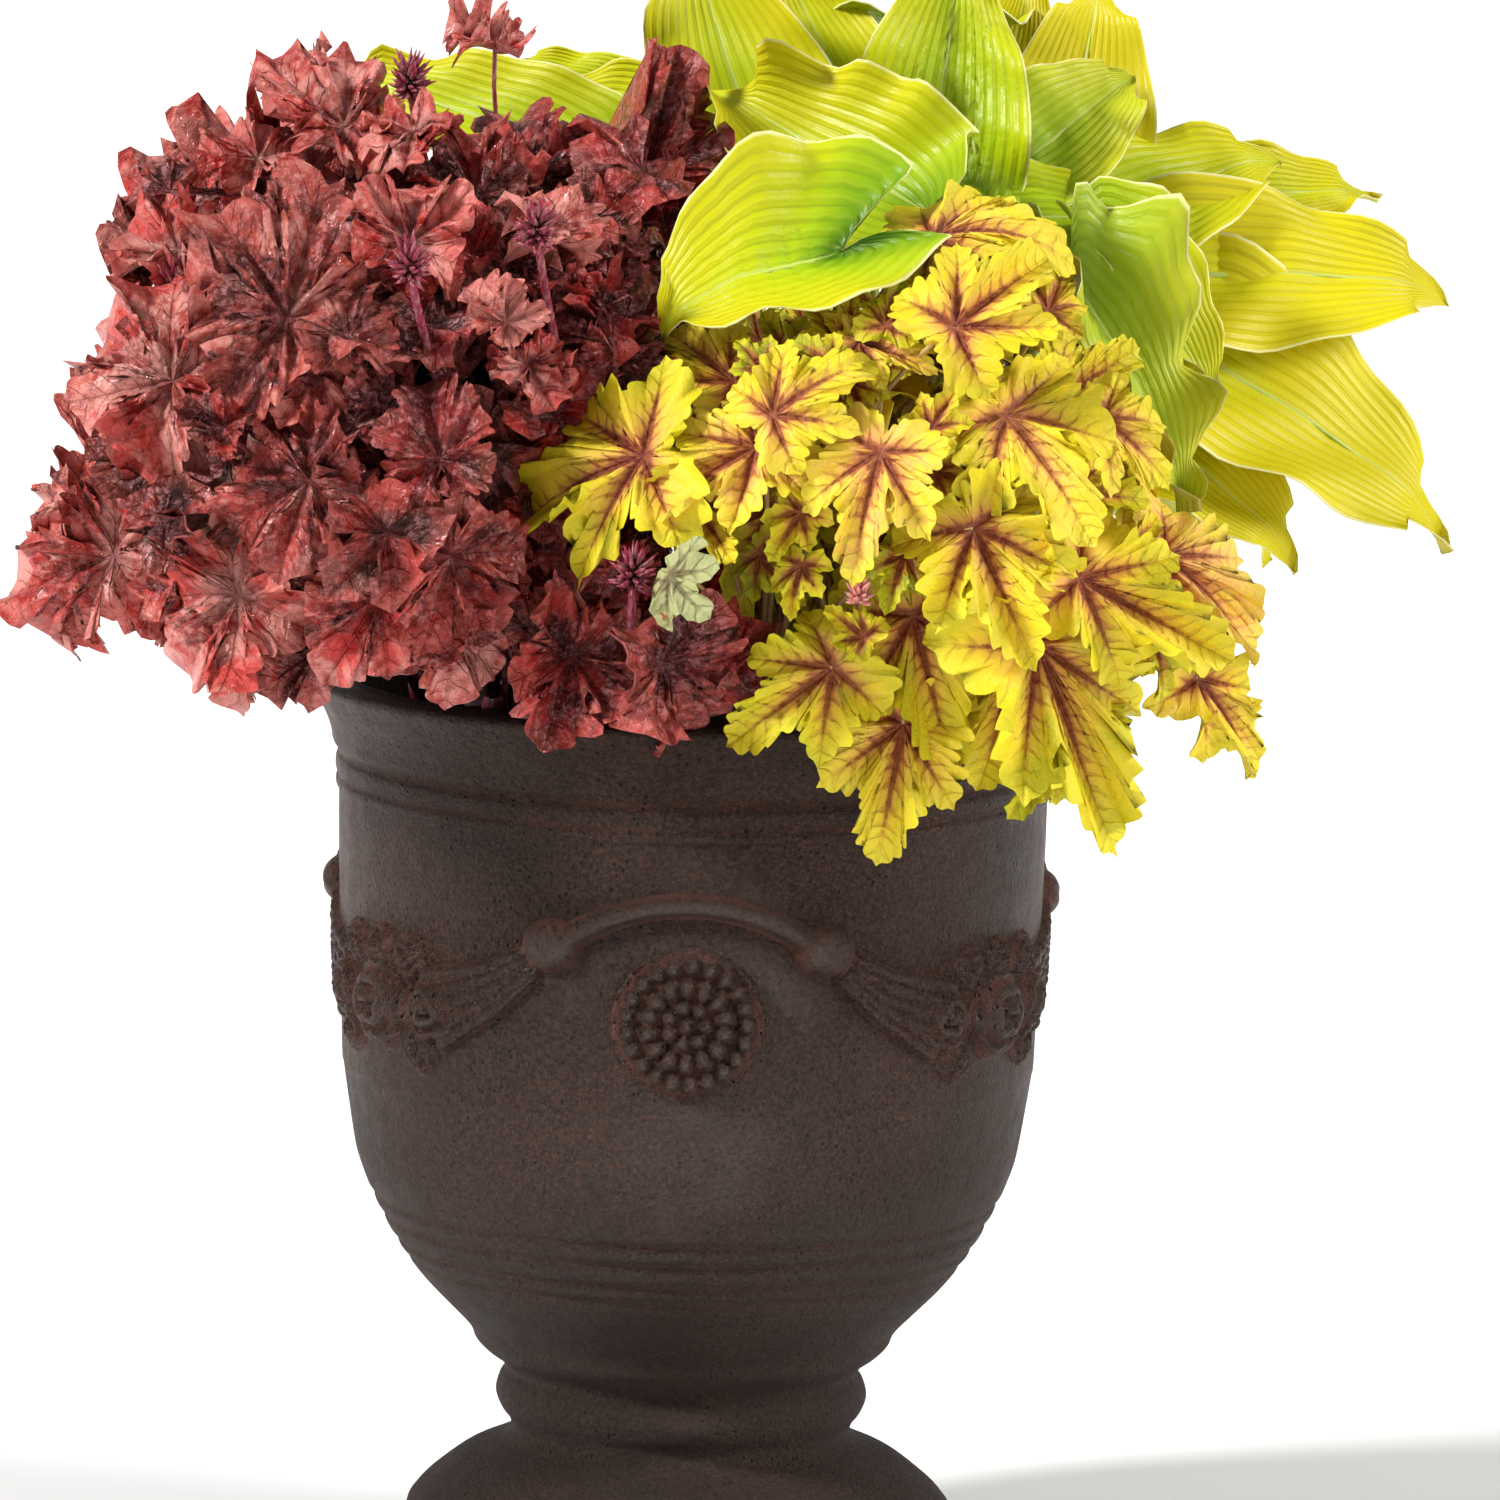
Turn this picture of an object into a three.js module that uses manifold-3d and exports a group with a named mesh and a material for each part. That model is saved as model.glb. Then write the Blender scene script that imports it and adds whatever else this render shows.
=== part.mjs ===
// Planted garden urn: a stoneware-style urn filled with soil and planted with a red heuchera,
// a yellow heucherella and a chartreuse hosta.
// Units are millimetres. Origin: centre of the underside of the urn. +X right, +Y back, +Z up.
import * as THREE from 'three';
import Module from 'manifold-3d';

const wasm = await Module();
wasm.setup();

// ---------------------------------------------------------------- driving dimensions
const URN_SIDES = 32;            // facets around the urn
const RIM_Z = 539;               // top of the rim
const RIM_R = 233;               // widest radius of the rim
const WALL = 24;                 // wall thickness
const SOIL_Z = 508;              // level of the soil at the wall
const SOIL_RISE = 14;            // how much the soil stands higher in the middle
const FLOOR_Z = 150;             // inside floor of the urn
const SLIP = 0.35;               // room between pieces that sit in one another
const CLEAR = 0.8;               // how much a leaf is grown when another is cut clear of it

const DRAW_STEP = 0.6;           // mm for each step of the front drawing the leaf rows use
const DRAW_FOOT = [677.2, 1560];  // where the drawing shows the origin: across, down
const DRAW_TURN = 1.2 * Math.PI / 180;         // how far the drawing is turned clockwise
const SLOPE = Math.tan(8.9 * Math.PI / 180);   // the drawing looks down on the pot by 8.9 degrees
const DRAW_UP = DRAW_STEP / Math.cos(8.9 * Math.PI / 180);

const CROWN_R = 15;              // radius of a crown of heuchera or heucherella
const RED_BLADE = 0.8, RED_STALK = 1.7;        // blade thickness, petiole radius
const GOLD_BLADE = 0.8, GOLD_STALK = 1.7;
const HOSTA_BLADE = 1.0, HOSTA_STALK = 3.6;

// ---------------------------------------------------------------- small helpers
const V = (x, y, z) => new THREE.Vector3(x, y, z);
const rad = (deg) => deg * Math.PI / 180;
const clamp = (x, lo, hi) => Math.min(hi, Math.max(lo, x));
const UP = V(0, 0, 1);

// repeatable draw between -1 and 1 for a whole number
function draw(n) {
  const s = Math.sin(n * 127.1 + 311.7) * 43758.5453;
  return 2 * (s - Math.floor(s)) - 1;
}

// closed solid from a list of points and a list of triangles, turned so that its faces look out
function solid(points, tris) {
  const vertProperties = new Float32Array(points.length * 3);
  points.forEach((p, i) => vertProperties.set([p.x, p.y, p.z], 3 * i));
  const six = tris.reduce((sum, [a, b, c]) =>
    sum + points[a].dot(points[b].clone().cross(points[c])), 0);
  const facing = six > 0 ? tris : tris.map(([a, b, c]) => [a, c, b]);
  return new wasm.Manifold(new wasm.Mesh({
    numProp: 3, vertProperties, triVerts: Uint32Array.from(facing.flat()),
  }));
}

// largest body of a solid
function mainBody(s) {
  return s.decompose().reduce((a, b) => (b.volume() > a.volume() ? b : a));
}

const fuse = (list) => wasm.Manifold.union(list);

// a sheet laid out as rings about a middle point, the same triangles on both faces
// rings[k][i] = {top, back}; the last ring is the edge
function ringSheet(middle, rings) {
  const n = rings[0].length, pts = [middle.top, middle.back], tris = [];
  rings.forEach((ring) => ring.forEach((p) => pts.push(p.top, p.back)));
  const id = (k, i, back) => 2 + 2 * (k * n + (i % n)) + (back ? 1 : 0);
  for (let i = 0; i < n; i += 1) {
    tris.push([0, id(0, i, 0), id(0, i + 1, 0)], [1, id(0, i + 1, 1), id(0, i, 1)]);
    for (let k = 0; k + 1 < rings.length; k += 1) {
      const [a, b, c, d] = [id(k, i, 0), id(k + 1, i, 0), id(k + 1, i + 1, 0), id(k, i + 1, 0)];
      tris.push([a, b, c], [a, c, d], [a + 1, c + 1, b + 1], [a + 1, d + 1, c + 1]);
    }
    const e = rings.length - 1;
    const [a, b] = [id(e, i, 0), id(e, i + 1, 0)];
    tris.push([a, a + 1, b + 1], [a, b + 1, b]);
  }
  return solid(pts, tris);
}

// a rod with few sides along a list of points; radius may change along it and the last
// ring may lie square to a given direction
function rod(path, radii, sides = 3, endFace = null) {
  const pts = [], tris = [];
  let ref = Math.abs(path[1].clone().sub(path[0]).normalize().z) > 0.9 ? V(1, 0, 0) : UP.clone();
  path.forEach((p, k) => {
    const last = k === path.length - 1;
    const ahead = last && endFace ? endFace.clone()
      : path[Math.min(k + 1, path.length - 1)].clone().sub(path[Math.max(k - 1, 0)]).normalize();
    const a = ref.clone().addScaledVector(ahead, -ref.dot(ahead)).normalize();
    const b = ahead.clone().cross(a);
    ref = a;
    for (let i = 0; i < sides; i += 1) {
      const t = 2 * Math.PI * i / sides;
      pts.push(p.clone().addScaledVector(a, Math.cos(t) * radii[k])
        .addScaledVector(b, Math.sin(t) * radii[k]));
    }
  });
  const id = (k, i) => k * sides + (i % sides);
  for (let k = 0; k + 1 < path.length; k += 1) {
    for (let i = 0; i < sides; i += 1) {
      tris.push([id(k, i), id(k, i + 1), id(k + 1, i + 1)], [id(k, i), id(k + 1, i + 1), id(k + 1, i)]);
    }
  }
  for (let i = 1; i + 1 < sides; i += 1) {
    tris.push([0, id(0, i + 1), id(0, i)]);
    tris.push([id(path.length - 1, 0), id(path.length - 1, i), id(path.length - 1, i + 1)]);
  }
  return solid(pts, tris);
}

// solid of revolution from [radius, height] pairs that start and end on the axis
function turned(profile, sides) {
  const lathe = new THREE.LatheGeometry(profile.map(([r, z]) => new THREE.Vector2(r, z)), sides);
  const pos = lathe.attributes.position, ring = profile.length;
  const pts = [], index = [], known = new Map();
  for (let i = 0; i < pos.count; i += 1) {
    const [x, y, z] = [pos.getX(i), -pos.getZ(i), pos.getY(i)];
    const onAxis = profile[i % ring][0] === 0;
    const key = onAxis ? `a${i % ring}` : `${Math.floor(i / ring) % sides}:${i % ring}`;
    if (!known.has(key)) {
      known.set(key, pts.length);
      pts.push(V(onAxis ? 0 : x, onAxis ? 0 : y, z));
    }
    index.push(known.get(key));
  }
  const src = lathe.index.array, tris = [];
  for (let i = 0; i < src.length; i += 3) {
    const t = [index[src[i]], index[src[i + 1]], index[src[i + 2]]];
    if (t[0] !== t[1] && t[1] !== t[2] && t[2] !== t[0]) tris.push(t);
  }
  return solid(pts, tris);
}

// ---------------------------------------------------------------- urn
// outside of the urn from the ground up: plinth, foot torus, stem, bowl, band grooves, flared rim
const OUTSIDE = [
  [0, 0], [164, 0], [165, 30], [134, 61], [104, 73], [103, 86], [112, 98], [107, 115],
  [126, 134], [144, 158], [165.5, 182], [190, 225], [202, 270], [208, 310], [212.3, 462],
  [214.8, 467], [214.8, 483], [213, 489], [219, 506], [230, 531], [RIM_R, RIM_Z - 3], [RIM_R - 4, RIM_Z],
];
const INSIDE = [
  [RIM_R - 20, RIM_Z], [RIM_R - 30, 490], [208 - WALL, 310], [165 - WALL, 195],
  [118 - WALL, FLOOR_Z], [0, FLOOR_Z],
];

// outside radius of the wall at a height
function wallRadius(z) {
  for (let i = 1; i + 1 < OUTSIDE.length; i += 1) {
    const [r0, z0] = OUTSIDE[i], [r1, z1] = OUTSIDE[i + 1];
    if (z >= z0 && z <= z1 && z1 > z0) return r0 + (r1 - r0) * (z - z0) / (z1 - z0);
  }
  return RIM_R;
}

// point on the wall: bearing in degrees from the front toward +X, height, distance outward
function onWall(deg, z, out) {
  const r = wallRadius(z) + out;
  return V(r * Math.sin(rad(deg)), -r * Math.cos(rad(deg)), z);
}

const SINK = -3;                 // how deep the ornament is rooted in the wall
const MM_PER_DEG = Math.PI * 210 / 180;

// round ornament: rows of [radius, height], oval by stretch, sides around; alternate points may dip
function boss(deg, z, rows, sides, stretch = 1, turn = 0, dip = 0) {
  const at = (r, h, i, k) => {
    const t = 2 * Math.PI * i / sides;
    const a = r * Math.cos(t) * stretch, b = r * Math.sin(t);
    const across = a * Math.cos(turn) - b * Math.sin(turn);
    const up = a * Math.sin(turn) + b * Math.cos(turn);
    const low = dip && k === dip && i % 2 ? 3 : 0;
    const q = { x: deg + across / MM_PER_DEG, z: z + up };
    return { top: onWall(q.x, q.z, h - low), back: onWall(q.x, q.z, SINK) };
  };
  const rings = rows.slice(1).map(([r, h], k) => Array.from({ length: sides }, (_, i) => at(r, h, i, k)));
  return ringSheet(at(0, rows[0][1], 0, -1), rings);
}

// ridge along [bearing, height] points with a three-cornered section
function ridge(path, width, height) {
  const pts = [], tris = [];
  path.forEach(([deg, z], k) => {
    const [d0, z0] = path[Math.max(k - 1, 0)], [d1, z1] = path[Math.min(k + 1, path.length - 1)];
    const dx = (d1 - d0) * MM_PER_DEG, dz = z1 - z0, n = Math.hypot(dx, dz);
    const [ax, az] = [-dz / n * width / 2, dx / n * width / 2];
    const end = k === 0 || k === path.length - 1 ? 0.5 : 1;
    pts.push(onWall(deg + ax / MM_PER_DEG, z + az, SINK), onWall(deg, z, height * end),
      onWall(deg - ax / MM_PER_DEG, z - az, SINK));
  });
  for (let k = 0; k + 1 < path.length; k += 1) {
    for (let i = 0; i < 3; i += 1) {
      const [a, b] = [3 * k + i, 3 * k + (i + 1) % 3];
      tris.push([a, b, b + 3], [a, b + 3, a + 3]);
    }
  }
  const e = 3 * (path.length - 1);
  tris.push([0, 2, 1], [e, e + 1, e + 2]);
  return solid(pts, tris);
}

// one third of the belt: medallion under an arch, husks, ribbed strands and a bunch of roses
function beltThird(deg) {
  const list = [
    boss(deg, 362, [[0, 11], [8, 4], [20, 7], [37, 4], [42, 9], [46, 3]], 11, 1, 0, 2),
    ridge([-19, -11, 0, 11, 19].map((d) => [deg + d, 433 - 0.06 * d * d]), 15, 9),
  ];
  [-1, 1].forEach((side) => {
    list.push(boss(deg + side * 23, 407, [[0, 13], [11, 3]], 6, 1.5, -side * 0.7));
    [0, 1].forEach((k) => {
      list.push(ridge([[26, 399], [33, 384], [40, 374]].map(([d, z]) =>
        [deg + side * (d - 2 * k), z - 13 * k]), 9, 7));
    });
  });
  [[45, 358, 14], [60, 352, 20], [75, 358, 14]].forEach(([d, z, r]) => {
    list.push(boss(deg + d, z, [[0, 9], [r * 0.55, 12], [r, 3]], 6, 1, d));
  });
  return list;
}

function makeUrn() {
  const shell = turned([...OUTSIDE, ...INSIDE], URN_SIDES);
  return fuse([shell, ...[0, 120, 240].flatMap(beltThird)]);
}

// ---------------------------------------------------------------- leaves
// place on the sight line through a point of the front drawing, at a depth y; the drawing is
// turned a little, so that the urn's axis leans to the right in it
function sight(u, v, y) {
  const [across, down] = [u - DRAW_FOOT[0], v - DRAW_FOOT[1]];
  const x = (across * Math.cos(DRAW_TURN) + down * Math.sin(DRAW_TURN)) * DRAW_STEP;
  const up = (across * Math.sin(DRAW_TURN) - down * Math.cos(DRAW_TURN)) * DRAW_UP;
  return V(x, y, up - y * SLOPE);
}
const SIGHT = V(0, 1, -SLOPE);

// where the sight line through a drawing point meets the plane of a leaf
function onPlane(u, v, mid, face) {
  const p = sight(u, v, mid.y);
  return p.addScaledVector(SIGHT, mid.clone().sub(p).dot(face) / SIGHT.dot(face));
}

// leaf from its drawn petiole end and tip, the depth of its middle and the way it faces
function drawnLeaf(row, depth, face0) {
  const [u0, v0, u1, v1] = row;
  const flat = Math.hypot(u1 - u0, v1 - v0) * DRAW_STEP;
  const face = face0.clone().normalize();
  for (let i = 0; i < 12; i += 1) {
    const mid = sight(u0 + 0.4 * (u1 - u0), v0 + 0.4 * (v1 - v0), depth);
    const foot = onPlane(u0, v0, mid, face), tip = onPlane(u1, v1, mid, face);
    const len = tip.distanceTo(foot);
    if (len < 1.45 * flat) return { foot, mid, face, rib: tip.sub(foot).divideScalar(len), len, line: SIGHT };
    face.add(V(0, -0.25, 0.04)).normalize();
  }
  throw new Error('leaf lies along the sight line');
}

// leaf placed freely: its middle, the way it faces and a direction its tip leans to
function freeLeaf(mid, face0, toward, len) {
  const face = face0.clone().normalize();
  const rib = toward.clone().addScaledVector(face, -toward.dot(face)).normalize();
  const foot = mid.clone().addScaledVector(rib, -0.4 * len);
  return { mid, face, rib, len, foot, line: face.clone().negate() };
}

function slide(leaf, dy) {
  const step = leaf.line.clone().multiplyScalar(dy);
  return { ...leaf, foot: leaf.foot.clone().add(step), middle: leaf.middle.clone().add(step) };
}

// part of the line p + t d that lies over a leaf taken as a flat oval, as [from, to]
function overOval(leaf, p, d) {
  const q = p.clone().sub(leaf.middle);
  const [x, y] = [q.dot(leaf.rib) / leaf.oval[0], q.dot(leaf.side) / leaf.oval[1]];
  const [dx, dy] = [d.dot(leaf.rib) / leaf.oval[0], d.dot(leaf.side) / leaf.oval[1]];
  const [a, b, c] = [dx * dx + dy * dy, x * dx + y * dy, x * x + y * y - 1];
  const root = b * b - a * c;
  return root > 0 ? [(-b - Math.sqrt(root)) / a, (-b + Math.sqrt(root)) / a] : null;
}

// do two leaves cross or lie closer over one another than their waves allow
const ROOM = 14;
function leavesCross(a, b) {
  const between = a.middle.clone().sub(b.middle);
  if (between.length() > Math.max(...a.oval) + Math.max(...b.oval)) return false;
  const line = a.face.clone().cross(b.face), s = line.length();
  const close = Math.abs(between.dot(a.face)) < ROOM && Math.abs(between.dot(b.face)) < ROOM;
  if (close && between.length() < 0.8 * (a.oval[1] + b.oval[1])) return true;
  if (s < 0.08) return false;
  const k = a.face.dot(b.face), [ha, hb] = [a.face.dot(a.middle), b.face.dot(b.middle)];
  const p = a.face.clone().multiplyScalar((ha - hb * k) / (1 - k * k))
    .addScaledVector(b.face, (hb - ha * k) / (1 - k * k));
  line.divideScalar(s);
  const ra = overOval(a, p, line), rb = overOval(b, p, line);
  return Boolean(ra && rb && ra[0] < rb[1] && rb[0] < ra[1]);
}

// a leaf moves along its own line, by near steps first, to cross as few placed leaves as it can
const STEPS = [0, 9, -9, 18, 27, -18, 36, -27, 45, 54, -36, 63, 72, 81, 90];
function settle(leaf, placed) {
  let best = leaf, least = Infinity;
  for (const step of STEPS) {
    const moved = slide(leaf, step);
    const count = placed.filter((o) => leavesCross(moved, o)).length;
    if (count < least) [best, least] = [moved, count];
    if (least === 0) break;
  }
  return best;
}

// blade outlines, right half from tip to petiole: [degrees from the rib, distance, lift]
const RED_EDGE = [[0, 1, -0.1], [26, 0.72, 0.04], [51, 0.94, -0.08], [80, 0.64, 0.06],
  [108, 0.8, -0.08], [142, 0.56, 0.03], [180, 0.13, 0]];
const GOLD_EDGE = [[0, 1, -0.1], [16, 0.73, 0.02], [31, 0.45, 0.05], [51, 0.88, -0.08],
  [75, 0.43, 0.05], [103, 0.72, -0.08], [140, 0.42, 0.02], [180, 0.11, 0]];
const HOSTA_EDGE = [[0, 1, 0], [17, 0.82, 0.015], [38, 0.65, -0.02], [70, 0.53, 0.025],
  [108, 0.49, -0.02], [145, 0.4, 0.01], [180, 0.09, 0]];

// both halves of an outline as [angle, distance, lift] going round the leaf
function wholeEdge(half) {
  return [...half, ...half.slice(1, -1).reverse().map(([a, r, w]) => [-a, r, w])];
}

// point of the middle of the blade: flat place u, v, w folded along the rib, cupped and bent back
function onBlade(leaf, kind, u, v, w) {
  const turn = leaf.bend / leaf.len;
  const lift = w + leaf.fold * Math.abs(u) - kind.sag * (u * u + v * v) / leaf.len;
  const [p, q] = Math.abs(leaf.bend) < 0.01 ? [v, lift]
    : [(1 / turn + lift) * Math.sin(v * turn), (1 / turn + lift) * Math.cos(v * turn) - 1 / turn];
  return leaf.foot.clone().addScaledVector(leaf.side, u).addScaledVector(leaf.rib, p)
    .addScaledVector(leaf.face, q);
}

// edge of a blade as flat places, each lobe and notch drawn a little longer or higher
function bladeEdge(leaf, kind, grow) {
  const { len, seed } = leaf;
  return wholeEdge(kind.edge).map(([a, r, w], i) => {
    const long = r * len * (1 + kind.vary * draw(seed * 31 + i)) + grow;
    const t = rad(a + 40 * kind.vary * draw(seed * 17 + i));
    return [Math.sin(t) * long * leaf.wide, Math.cos(t) * long, len * (w + kind.wave * draw(seed * 7 + i))];
  });
}

function blade(leaf, kind, grow = 0) {
  const half = kind.thick / 2 + grow;
  const pair = (u, v, w) => ({ top: onBlade(leaf, kind, u, v, w + half),
    back: onBlade(leaf, kind, u, v, w - half) });
  const edge = bladeEdge(leaf, kind, grow);
  const rings = kind.rings.map((k) => edge.map(([u, v, w]) => pair(u * k, v * k, w * k * k)));
  return ringSheet(pair(0, 0, 0), rings);
}

// where the petiole meets the blade: inside the first facet beside the rib
function socket(leaf, kind) {
  const [e0, e1] = bladeEdge(leaf, kind, 0).map(([u, v, w]) =>
    onBlade(leaf, kind, u * kind.rings[0], v * kind.rings[0], w * kind.rings[0] ** 2));
  const c = onBlade(leaf, kind, 0, 0, 0), out = e0.clone().add(e1).divideScalar(2).sub(c);
  const at = c.clone().addScaledVector(out, 12 / out.length());
  const face = e0.clone().sub(c).cross(e1.clone().sub(c)).normalize();
  return { at, face: face.dot(leaf.face) > 0 ? face : face.negate() };
}

// petiole from the crown to the underside of the blade; over the rim where the leaf hangs outside
function stalkPath(leaf, low, end, swing) {
  const root = leaf.root.clone().setZ(low);
  const aside = V(end.y - root.y, root.x - end.x, 0).normalize().multiplyScalar(swing[0]);
  let c1, c2;
  if (Math.hypot(end.x, end.y) > RIM_R - 22 && end.z < RIM_Z + 80) {
    c1 = V(root.x + 0.25 * (end.x - root.x), root.y + 0.25 * (end.y - root.y), RIM_Z + 75 + swing[1]);
    c2 = V(end.x, end.y, Math.max(end.z, RIM_Z + 55)).addScaledVector(leaf.face, -8);
  } else {
    const rise = Math.max(30, end.z - root.z), apart = end.distanceTo(root);
    c1 = V(root.x + 0.1 * (end.x - root.x), root.y + 0.1 * (end.y - root.y), root.z + 0.45 * rise);
    c2 = end.clone().addScaledVector(leaf.face, -0.22 * apart).addScaledVector(leaf.rib, -0.12 * apart);
    c2.z = Math.max(c2.z, root.z + 25) + swing[1];
  }
  return new THREE.CubicBezierCurve3(root, c1.add(aside), c2.add(aside), end).getPoints(leaf.joints);
}

// how many leaves a petiole would pierce
function pierced(path, leaf, leaves) {
  let count = 0;
  leaves.forEach((o) => {
    if (o === leaf) return;
    for (let k = 0; k + 1 < path.length; k += 1) {
      const d = path[k + 1].clone().sub(path[k]), drop = d.dot(o.face);
      const t = o.middle.clone().sub(path[k]).dot(o.face) / drop;
      if (t < 0 || t > 1) continue;
      const q = path[k].clone().addScaledVector(d, t).sub(o.middle);
      if ((q.dot(o.rib) / o.oval[0]) ** 2 + (q.dot(o.side) / o.oval[1]) ** 2 < 1.1) count += 1;
    }
  });
  return count;
}

// shortest distance between two straight pieces p0-p1 and q0-q1
function pieceGap(p0, p1, q0, q1) {
  const dp = p1.clone().sub(p0), dq = q1.clone().sub(q0), r = p0.clone().sub(q0);
  const [a, b, e] = [dp.lengthSq(), dp.dot(dq), dq.lengthSq()], [c, f] = [dp.dot(r), dq.dot(r)];
  const slant = a * e - b * b;
  const s = slant > 1e-6 ? clamp((b * f - c * e) / slant, 0, 1) : 0;
  const t = clamp((b * s + f) / e, 0, 1);
  return r.addScaledVector(dp, clamp((b * t - c) / a, 0, 1)).addScaledVector(dq, -t).length();
}

// how many stems of other nodes a petiole would run into
function tangled(path, thick, node, done) {
  return done.filter((o) => o.node !== node && path.slice(1).some((p1, i) =>
    o.path.slice(1).some((q1, k) =>
      pieceGap(path[i], p1, o.path[k], q1) < o.thick + thick + CLEAR + 0.5))).length;
}

// does a petiole run into the rim
function scrapes(path) {
  return path.slice(1).some((b, i) => [0, 0.2, 0.4, 0.6, 0.8, 1].some((t) => {
    const p = path[i].clone().lerp(b, t), r = Math.hypot(p.x, p.y);
    return p.z > SOIL_Z && p.z < RIM_Z + 4 && r > RIM_R - 28 && r < RIM_R + 4;
  }));
}

// the swings a petiole may take; the one that meets fewest petioles and leaves is kept
const SWINGS = [0, 22, -22, 45, -45, 70, -70].flatMap((a) => [0, -25, 35].map((b) => [a, b]));
function routed(leaf, kind, low, leaves, done) {
  const { at, face } = socket(leaf, kind);
  const cost = (path) => pierced(path, leaf, leaves) + 4 * tangled(path, kind.stalk, leaf.node, done)
    + (scrapes(path) ? 8 : 0);
  let best = null, least = Infinity;
  for (const swing of SWINGS) {
    const path = stalkPath(leaf, low, at, swing), here = cost(path);
    if (here < least) [best, least] = [path, here];
    if (least === 0) break;
  }
  const out = { ...leaf, path: best, endFace: face, thick: kind.stalk };
  done.push(out);
  return out;
}

function stalk(leaf, radius, grow = 0) {
  const radii = leaf.path.map((_, k) => (k === leaf.path.length - 1 ? Math.min(radius, 1.6) : radius) + grow);
  return rod(leaf.path, radii, 3, leaf.endFace);
}

// ---------------------------------------------------------------- heuchera and heucherella
const RED = { edge: RED_EDGE, thick: RED_BLADE, stalk: RED_STALK, sag: 0.16, vary: 0.06, wave: 0.05,
  rings: [1] };
const GOLD = { edge: GOLD_EDGE, thick: GOLD_BLADE, stalk: GOLD_STALK, sag: 0.14, vary: 0.05,
  wave: 0.03, rings: [1] };
const HOSTA = { edge: HOSTA_EDGE, thick: HOSTA_BLADE, stalk: HOSTA_STALK, sag: 0, vary: 0.02,
  wave: 0.012, rings: [0.55, 1] };

// each plant spreads its leaves over a dome: middle and half sizes
const RED_DOME = { mid: V(-172, -55, 655), size: V(222, 205, 235) };
const GOLD_DOME = { mid: V(118, -95, 655), size: V(205, 185, 205) };

// shoots of a plant: soil place of the crown and the point its leaves gather round
const RED_SHOOTS = [
  { node: 'heuchera_shoot_left', at: [-150, -20], head: [-340, -80, 650] },
  { node: 'heuchera_shoot_low_left', at: [-135, -75], head: [-250, -190, 590] },
  { node: 'heuchera_shoot_front', at: [-75, -125], head: [-90, -240, 590] },
  { node: 'heuchera_shoot_middle', at: [-85, -70], head: [-150, -210, 720] },
  { node: 'heuchera_shoot_top_left', at: [-115, 15], head: [-280, -90, 800] },
  { node: 'heuchera_shoot_top', at: [-60, -15], head: [-70, -90, 820] },
  { node: 'heuchera_shoot_back', at: [-100, 70], head: [-190, 110, 700] },
];
const GOLD_SHOOTS = [
  { node: 'heucherella_shoot_left', at: [40, -130], head: [0, -220, 700] },
  { node: 'heucherella_shoot_front', at: [85, -135], head: [120, -270, 600] },
  { node: 'heucherella_shoot_right', at: [135, -95], head: [270, -170, 630] },
  { node: 'heucherella_shoot_top', at: [85, -80], head: [150, -150, 790] },
];

// drawn leaves, front ones first: petiole end across, down; tip across, down; where it differs
// from the rest, width over length and how far back it lies
const RED_LEAVES = [
  [303, 332, 230, 232], [325, 490, 226, 550], [619, 368, 598, 245, 0.6], [461, 562, 428, 668],
  [577, 657, 545, 752], [663, 664, 690, 755], [645, 192, 668, 82, 0.6, 60], [452, 470, 438, 385],
  [190, 392, 104, 330], [352, 140, 265, 95], [130, 560, 35, 600], [255, 600, 180, 690],
  [331, 384, 292, 440], [530, 190, 522, 105], [365, 352, 362, 283], [335, 492, 357, 566],
  [188, 398, 150, 495], [262, 648, 246, 716], [390, 605, 335, 683], [462, 625, 456, 712],
  [421, 146, 415, 205], [420, 258, 432, 190], [535, 375, 560, 430],
  [515, 337, 472, 300], [430, 280, 385, 318], [268, 170, 228, 128], [192, 262, 130, 255],
  [345, 140, 340, 76], [90, 500, 46, 520], [95, 595, 72, 655], [635, 575, 592, 590],
  [560, 245, 495, 225], [500, 62, 442, 50, 0.6], [545, 500, 560, 560], [480, 215, 455, 150],
  [260, 520, 215, 470], [700, 620, 745, 660], [300, 225, 330, 290],
];
const GOLD_LEAVES = [
  [648, 466, 511, 534], [876, 463, 846, 587], [757, 458, 648, 534], [1028, 648, 1095, 852],
  [997, 426, 1079, 560], [965, 536, 1023, 676], [772, 428, 867, 367], [948, 342, 1040, 275],
  [929, 251, 1078, 258], [899, 724, 872, 868], [830, 670, 728, 742], [908, 619, 945, 775],
  [1067, 584, 1206, 663], [735, 392, 664, 335], [1152, 561, 1249, 667], [857, 355, 930, 385],
  [1188, 680, 1246, 777, 0.6], [1047, 412, 1131, 362], [1008, 662, 972, 795], [1090, 430, 1163, 492],
  [700, 515, 742, 572],
];

// depth of a drawing point on the near side of a dome, and the way the dome faces there
function domeAt(dome, u, v) {
  const p = sight(u, v, dome.mid.y - 0.6 * dome.size.y);
  const a = (p.x - dome.mid.x) / dome.size.x, c = (p.z - dome.mid.z) / dome.size.z;
  const b = Math.sqrt(Math.max(0.02, 1 - a * a - c * c));
  let depth = dome.mid.y - dome.size.y * b;
  if (p.z < RIM_Z + 45 && Math.abs(p.x) < RIM_R) {      // low leaves hang outside the rim
    depth = Math.min(depth, -Math.sqrt((RIM_R + 20) ** 2 - p.x * p.x));
  }
  return { depth,
    face: V(a / dome.size.x, -b / dome.size.y, c / dome.size.z).normalize() };
}

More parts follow.
